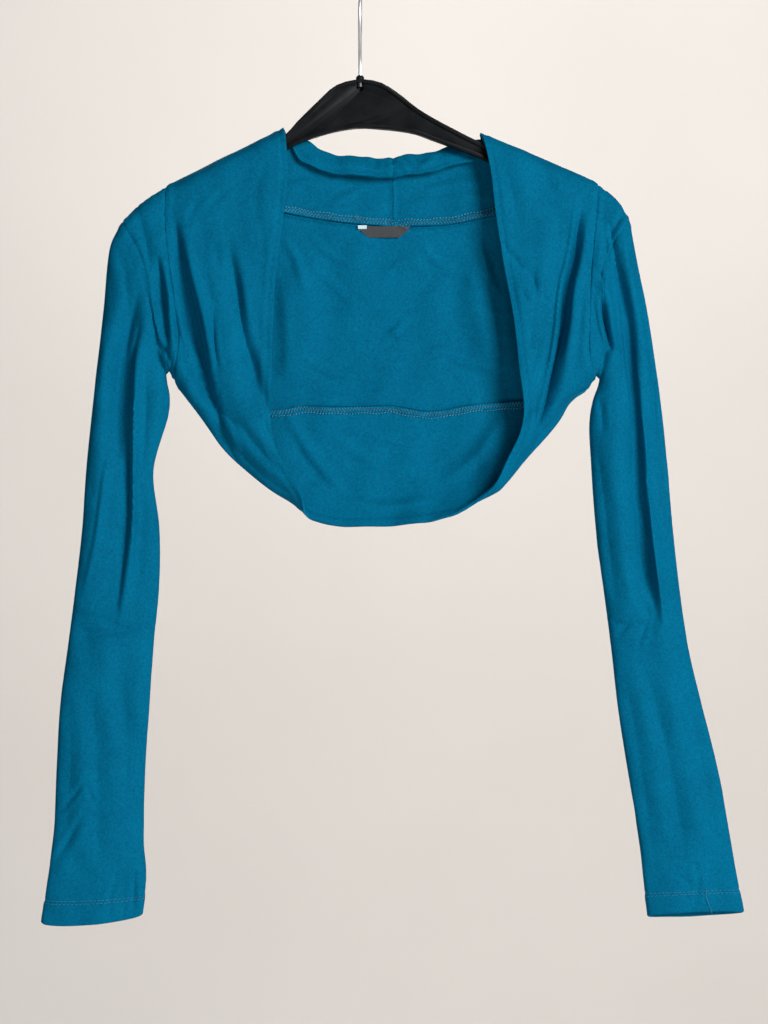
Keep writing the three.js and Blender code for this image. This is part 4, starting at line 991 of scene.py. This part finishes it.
def label_threads():
    """Loose ends of the thread that holds the label, and one at the left cuff."""
    ends = [
        [(34, 8, -194), (36, 6.5, -195.5), (39, 6.5, -196.5), (41.5, 7.5, -195)],
        [(38, 8, -196.5), (40, 6.5, -198), (41.2, 6.5, -199.5)],
        [(-4, 8, -188), (-3, 6.5, -186), (-1, 6.2, -187.5), (-2, 7, -189.5)],
        [(287.5, -9.3, -746.5), (287, -9.8, -752.5), (289.6, -10, -759.6), (292.3, -9.6, -767.4)],
    ]
    paths = [through(end, np.linspace(0, len(end) - 1, 14)) for end in ends]
    return thread_mesh("loose_threads", paths, 0.22)


THREADS["loose_threads"] = label_threads()

# Materials.


def material(name, colour, roughness):
    made = bpy.data.materials.new(name)
    made.use_nodes = True
    shader = made.node_tree.nodes["Principled BSDF"]
    shader.inputs["Base Color"].default_value = (*colour, 1)
    shader.inputs["Roughness"].default_value = roughness
    return made, made.node_tree, shader


def node(tree, kind, **values):
    """A node with its plain values set: inputs by their names, the rest as attributes."""
    made = tree.nodes.new(kind)
    for key, value in values.items():
        if key in made.inputs:
            made.inputs[key].default_value = value
        else:
            setattr(made, key, value)
    return made


def ramp(tree, source, low, high, dark, light):
    """Turns a value between low and high into a colour between dark and light."""
    made = tree.nodes.new("ShaderNodeValToRGB")
    made.color_ramp.elements[0].position = low
    made.color_ramp.elements[0].color = (*dark, 1)
    made.color_ramp.elements[1].position = high
    made.color_ramp.elements[1].color = (*light, 1)
    tree.links.new(source, made.inputs["Fac"])
    return made.outputs["Color"]


def bump(tree, height, strength, distance, under=None):
    made = node(tree, "ShaderNodeBump", Strength=strength, Distance=distance)
    tree.links.new(height, made.inputs["Height"])
    if under:
        tree.links.new(under, made.inputs["Normal"])
    return made.outputs["Normal"]


def jersey_material(name, dark, light):
    """Fine viscose jersey: rows of stitches, a faint melange and a soft sheen."""
    made, tree, shader = material(name, light, 0.74)
    shader.inputs["Sheen Weight"].default_value = 0.45
    shader.inputs["Sheen Roughness"].default_value = 0.25
    shader.inputs["Sheen Tint"].default_value = (0.0, 0.6, 0.85, 1)
    shader.inputs["Specular IOR Level"].default_value = 0.02
    place = node(tree, "ShaderNodeTexCoord")
    uv, solid = place.outputs["UV"], place.outputs["Object"]
    cloud = node(tree, "ShaderNodeTexNoise", Scale=28, Detail=3, Roughness=0.55)
    tree.links.new(solid, cloud.inputs["Vector"])
    fibre = node(tree, "ShaderNodeTexNoise", Scale=620, Detail=3, Roughness=0.7)
    tree.links.new(solid, fibre.inputs["Vector"])
    mixed = node(tree, "ShaderNodeMath", operation="MULTIPLY_ADD")
    mixed.inputs[1].default_value = 0.25
    tree.links.new(cloud.outputs["Fac"], mixed.inputs[0])
    tree.links.new(fibre.outputs["Fac"], mixed.inputs[2])
    colour = ramp(tree, mixed.outputs["Value"], 0.4, 0.85, dark, light)
    tree.links.new(colour, shader.inputs["Base Color"])
    wales = node(tree, "ShaderNodeTexWave", Scale=300, Distortion=0.6, bands_direction="X")
    tree.links.new(uv, wales.inputs["Vector"])
    courses = node(tree, "ShaderNodeTexWave", Scale=360, Distortion=0.6, bands_direction="Y")
    tree.links.new(uv, courses.inputs["Vector"])
    knit = node(tree, "ShaderNodeMath", operation="MULTIPLY")
    tree.links.new(wales.outputs["Fac"], knit.inputs[0])
    tree.links.new(courses.outputs["Fac"], knit.inputs[1])
    creases = node(tree, "ShaderNodeTexNoise", Scale=75, Detail=4, Roughness=0.5, Distortion=0.8)
    tree.links.new(solid, creases.inputs["Vector"])
    rumple = bump(tree, creases.outputs["Fac"], 0.5, 0.0016)
    stitched = bump(tree, knit.outputs["Value"], 0.12, 0.0002, rumple)
    fuzz = bump(tree, fibre.outputs["Fac"], 0.3, 0.0005, stitched)
    tree.links.new(fuzz, shader.inputs["Normal"])
    return made


def woven_material(name, dark, light, scale, roughness):
    """A woven label or ribbon: crossed threads with a slight gloss."""
    made, tree, shader = material(name, light, roughness)
    place = node(tree, "ShaderNodeTexCoord")
    warp = node(tree, "ShaderNodeTexWave", Scale=scale, bands_direction="X")
    weft = node(tree, "ShaderNodeTexWave", Scale=scale * 0.8, bands_direction="Y")
    for wave in (warp, weft):
        tree.links.new(place.outputs["UV"], wave.inputs["Vector"])
    cross = node(tree, "ShaderNodeMath", operation="ADD")
    tree.links.new(warp.outputs["Fac"], cross.inputs[0])
    tree.links.new(weft.outputs["Fac"], cross.inputs[1])
    colour = ramp(tree, cross.outputs["Value"], 0.2, 0.9, dark, light)
    tree.links.new(colour, shader.inputs["Base Color"])
    normal = bump(tree, cross.outputs["Value"], 0.3, 0.0002)
    tree.links.new(normal, shader.inputs["Normal"])
    return made


def plastic_material():
    """Moulded plastic: black, satin, with a fine grain and faint scuffs."""
    made, tree, shader = material("moulded black plastic", (0.008, 0.009, 0.011), 0.48)
    shader.inputs["Specular IOR Level"].default_value = 0.08
    place = node(tree, "ShaderNodeTexCoord")
    grain = node(tree, "ShaderNodeTexNoise", Scale=1500, Detail=2)
    scuff = node(tree, "ShaderNodeTexNoise", Scale=60, Detail=5, Roughness=0.65)
    for noise in (grain, scuff):
        tree.links.new(place.outputs["Object"], noise.inputs["Vector"])
    rough = ramp(tree, scuff.outputs["Fac"], 0.35, 0.75, (0.38,) * 3, (0.55,) * 3)
    tree.links.new(rough, shader.inputs["Roughness"])
    colour = ramp(tree, scuff.outputs["Fac"], 0.3, 0.8, (0.006, 0.0068, 0.0078), (0.0105, 0.0118, 0.0132))
    tree.links.new(colour, shader.inputs["Base Color"])
    normal = bump(tree, grain.outputs["Fac"], 0.25, 0.0002)
    tree.links.new(normal, shader.inputs["Normal"])
    return made


def wire_material(name, dark, light):
    """Plated wire with a little dulling."""
    made, tree, shader = material(name, light, 0.3)
    shader.inputs["Metallic"].default_value = 1
    place = node(tree, "ShaderNodeTexCoord")
    dull = node(tree, "ShaderNodeTexNoise", Scale=220, Detail=4)
    tree.links.new(place.outputs["Object"], dull.inputs["Vector"])
    rough = ramp(tree, dull.outputs["Fac"], 0.3, 0.8, (0.42,) * 3, (0.58,) * 3)
    tree.links.new(rough, shader.inputs["Roughness"])
    colour = ramp(tree, dull.outputs["Fac"], 0.3, 0.8, dark, light)
    tree.links.new(colour, shader.inputs["Base Color"])
    return made


def thread_material(name, colour):
    made, tree, shader = material(name, colour, 0.55)
    shader.inputs["Sheen Weight"].default_value = 0.3
    place = node(tree, "ShaderNodeTexCoord")
    twist = node(tree, "ShaderNodeTexNoise", Scale=1800, Detail=2)
    tree.links.new(place.outputs["Object"], twist.inputs["Vector"])
    dark = tuple(0.7 * c for c in colour)
    shade = ramp(tree, twist.outputs["Fac"], 0.3, 0.7, dark, colour)
    tree.links.new(shade, shader.inputs["Base Color"])
    tree.links.new(bump(tree, twist.outputs["Fac"], 0.3, 0.0002), shader.inputs["Normal"])
    return made


JERSEY_LOOK = jersey_material("teal viscose jersey", (0.0002, 0.088, 0.182), (0.0004, 0.158, 0.295))
LABEL_LOOK = woven_material("charcoal woven label", (0.018, 0.021, 0.025), (0.04, 0.046, 0.054), 250, 0.6)
RIBBON_LOOK = woven_material("pale satin ribbon", (0.45, 0.66, 0.76), (0.6, 0.8, 0.9), 300, 0.45)
PLASTIC_LOOK = plastic_material()
WIRE_LOOK = wire_material("plated hook wire", (0.8, 0.81, 0.83), (0.93, 0.94, 0.95))
# Dark wire colours for the head in the hanger's slot: painted shade of the slot's recess.
SLOT_SHADE_LOOK = wire_material("wire end painted with slot shade", (0.05, 0.05, 0.055), (0.16, 0.16, 0.17))
THREAD_LOOK = thread_material("teal sewing thread", (0.004, 0.19, 0.34))
PALE_THREAD_LOOK = thread_material("pale overlock thread", (0.12, 0.46, 0.6))


def finish_piece(piece, look):
    piece.data.materials.clear()
    piece.data.materials.append(look)


# What the sheets were cut to: width and length in metres, and flat area.
CUTS = {
    "back_panel": (0.42, 0.20, 0.064),
    "front_panel_right": (0.038, 0.16, 0.0034),
    "front_panel_left": (0.03, 0.16, 0.0026),
    "band": (0.11, 1.26, 0.091),
    "sleeve_right": (0.26, 0.62, 0.088),
    "sleeve_left": (0.26, 0.62, 0.086),
}
for name, piece in [*SEWING.items(), *THREADS.items()]:
    look = JERSEY_LOOK if name in SEWING else PALE_THREAD_LOOK if "overlock" in name else THREAD_LOOK
    finish_piece(piece, look)
    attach(piece, "root")
for name, (width, length, area) in CUTS.items():
    piece = COVERS[name]
    finish_piece(piece, JERSEY_LOOK)
    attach(piece, "root")
    nodes = ("band_right", "band_left") if name == "band" else (name,)
    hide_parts(*nodes)

finish_piece(neck_label, LABEL_LOOK)
finish_piece(care_label, RIBBON_LOOK)

# Hanger and hook.


def refined(node_name, name, bevel=0, levels=0):
    """A smoother copy of a hard node: its corners merged, then bevelled or subdivided."""
    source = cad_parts[node_name]
    piece = source.copy()
    piece.data = source.data.copy()
    piece.name = name
    piece.data.name = name
    for key in [key for key in piece.keys() if key.startswith("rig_")]:
        del piece[key]
    bpy.context.collection.objects.link(piece)
    work = bmesh.new()
    work.from_mesh(piece.data)
    bmesh.ops.remove_doubles(work, verts=work.verts, dist=1e-6)
    bmesh.ops.dissolve_limit(
        work, angle_limit=math.radians(1), verts=work.verts, edges=work.edges
    )
    work.to_mesh(piece.data)
    work.free()
    if bevel:
        modifier = piece.modifiers.new("edges", "BEVEL")
        modifier.harden_normals = True
        modifier.width = bevel * MM
        modifier.segments = 3
        modifier.limit_method = "ANGLE"
        modifier.angle_limit = math.radians(40)
    if levels:
        modifier = piece.modifiers.new("smooth", "SUBSURF")
        modifier.levels = modifier.render_levels = levels
    apply_modifiers(piece)
    bpy.ops.object.select_all(action="DESELECT")
    bpy.context.view_layer.objects.active = piece
    piece.select_set(True)
    bpy.ops.object.shade_smooth_by_angle(angle=math.radians(35))
    piece.select_set(False)
    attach(piece, "root")
    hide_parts(node_name)
    return piece


hanger = refined("hanger_body", "hanger_moulding", bevel=0.6)
finish_piece(hanger, PLASTIC_LOOK)
wire = refined("hanger_hook", "hook_wire")
finish_piece(wire, WIRE_LOOK)
HEAD_TOP = -0.0764  # the wire's pressed head, down in the hanger's slot, gets a dark material: painted shade of the slot
# The head's faces below HEAD_TOP get the dark material, which paints the slot's shade on them.
wire.data.materials.append(SLOT_SHADE_LOOK)
for face in wire.data.polygons:
    if face.center.z < HEAD_TOP:
        face.material_index = 1

# Stage, light and camera. The photograph shows 1.2 pixels a millimetre.
PHOTO_SCALE = 1.2
PHOTO_WIDTH, PHOTO_HEIGHT = 768, 1024
HOOK_PIXEL = (360, -9)  # where the photograph has the part's origin
CAMERA_BACK = 2.2
WALL_BACK = 4.5
FLOOR_DOWN = 2.1


def stage_material():
    made, tree, shader = material("pale wall paint", (0.74, 0.69, 0.64), 0.9)
    place = node(tree, "ShaderNodeTexCoord")
    cloud = node(tree, "ShaderNodeTexNoise", Scale=1.5, Detail=2)
    tree.links.new(place.outputs["Object"], cloud.inputs["Vector"])
    colour = ramp(tree, cloud.outputs["Fac"], 0.3, 0.7, (0.715, 0.68, 0.65), (0.745, 0.71, 0.68))
    tree.links.new(colour, shader.inputs["Base Color"])
    return made


def stage():
    """A pale floor that curves up into a wall, far enough back to walk round the part."""
    half, radius = 9, 1.2
    profile = [(-6, -FLOOR_DOWN), (WALL_BACK - radius, -FLOOR_DOWN)]
    for degrees in range(0, 91, 9):
        angle = math.radians(degrees)
        back = WALL_BACK - radius * (1 - math.sin(angle))
        up = -FLOOR_DOWN + radius * (1 - math.cos(angle))
        profile.append((back, up))
    profile.append((WALL_BACK, 4))
    verts = [(x, y, z) for y, z in profile for x in (-half, half)]
    faces = [(2 * k, 2 * k + 1, 2 * k + 3, 2 * k + 2) for k in range(len(profile) - 1)]
    mesh = bpy.data.meshes.new("backdrop")
    mesh.from_pydata(verts, [], faces)
    mesh.shade_smooth()
    mesh.materials.append(stage_material())
    sweep = bpy.data.objects.new("backdrop", mesh)
    bpy.context.collection.objects.link(sweep)


def area_light(name, place, target, size, power, colour):
    data = bpy.data.lights.new(name, "AREA")
    data.shape = "RECTANGLE"
    data.size, data.size_y = size
    data.energy = power
    data.color = colour
    lamp = bpy.data.objects.new(name, data)
    bpy.context.collection.objects.link(lamp)
    lamp.location = place
    lamp.rotation_euler = (Vector(target) - Vector(place)).to_track_quat("-Z", "Y").to_euler()


def camera():
    centre_x = (PHOTO_WIDTH / 2 - HOOK_PIXEL[0]) / PHOTO_SCALE * MM
    centre_z = -(PHOTO_HEIGHT / 2 - HOOK_PIXEL[1]) / PHOTO_SCALE * MM
    data = bpy.data.cameras.new("camera")
    data.sensor_fit = "AUTO"
    data.sensor_width = 36
    data.lens = 36 * CAMERA_BACK / (PHOTO_HEIGHT / PHOTO_SCALE * MM)
    eye = bpy.data.objects.new("camera", data)
    bpy.context.collection.objects.link(eye)
    eye.location = (centre_x, -CAMERA_BACK, centre_z)
    eye.rotation_euler = (math.pi / 2, 0, 0)
    bpy.context.scene.camera = eye


stage()
middle = (0.02, 0, -0.4)
area_light("window", (1.95, -2.75, 0.5), middle, (1.3, 1.3), 128, (1, 0.985, 0.96))
area_light("room", (-0.3, -1.9, -1.6), middle, (1.8, 1.8), 15, (0.97, 0.98, 1))
area_light("behind", (-0.8, 1.9, 0.9), middle, (1.6, 1.6), 22, (1, 1, 1))
area_light("wall wash", (0.4, 1.2, 1.6), (0.2, 4.4, -0.6), (2.5, 1.2), 120, (1, 0.99, 0.97))
world = bpy.data.worlds.new("room light")
bpy.context.scene.world = world
world.use_nodes = True
world.node_tree.nodes["Background"].inputs["Color"].default_value = (0.95, 0.96, 1, 1)
world.node_tree.nodes["Background"].inputs["Strength"].default_value = 0.06
bpy.context.scene.view_settings.view_transform = "Standard"
camera()
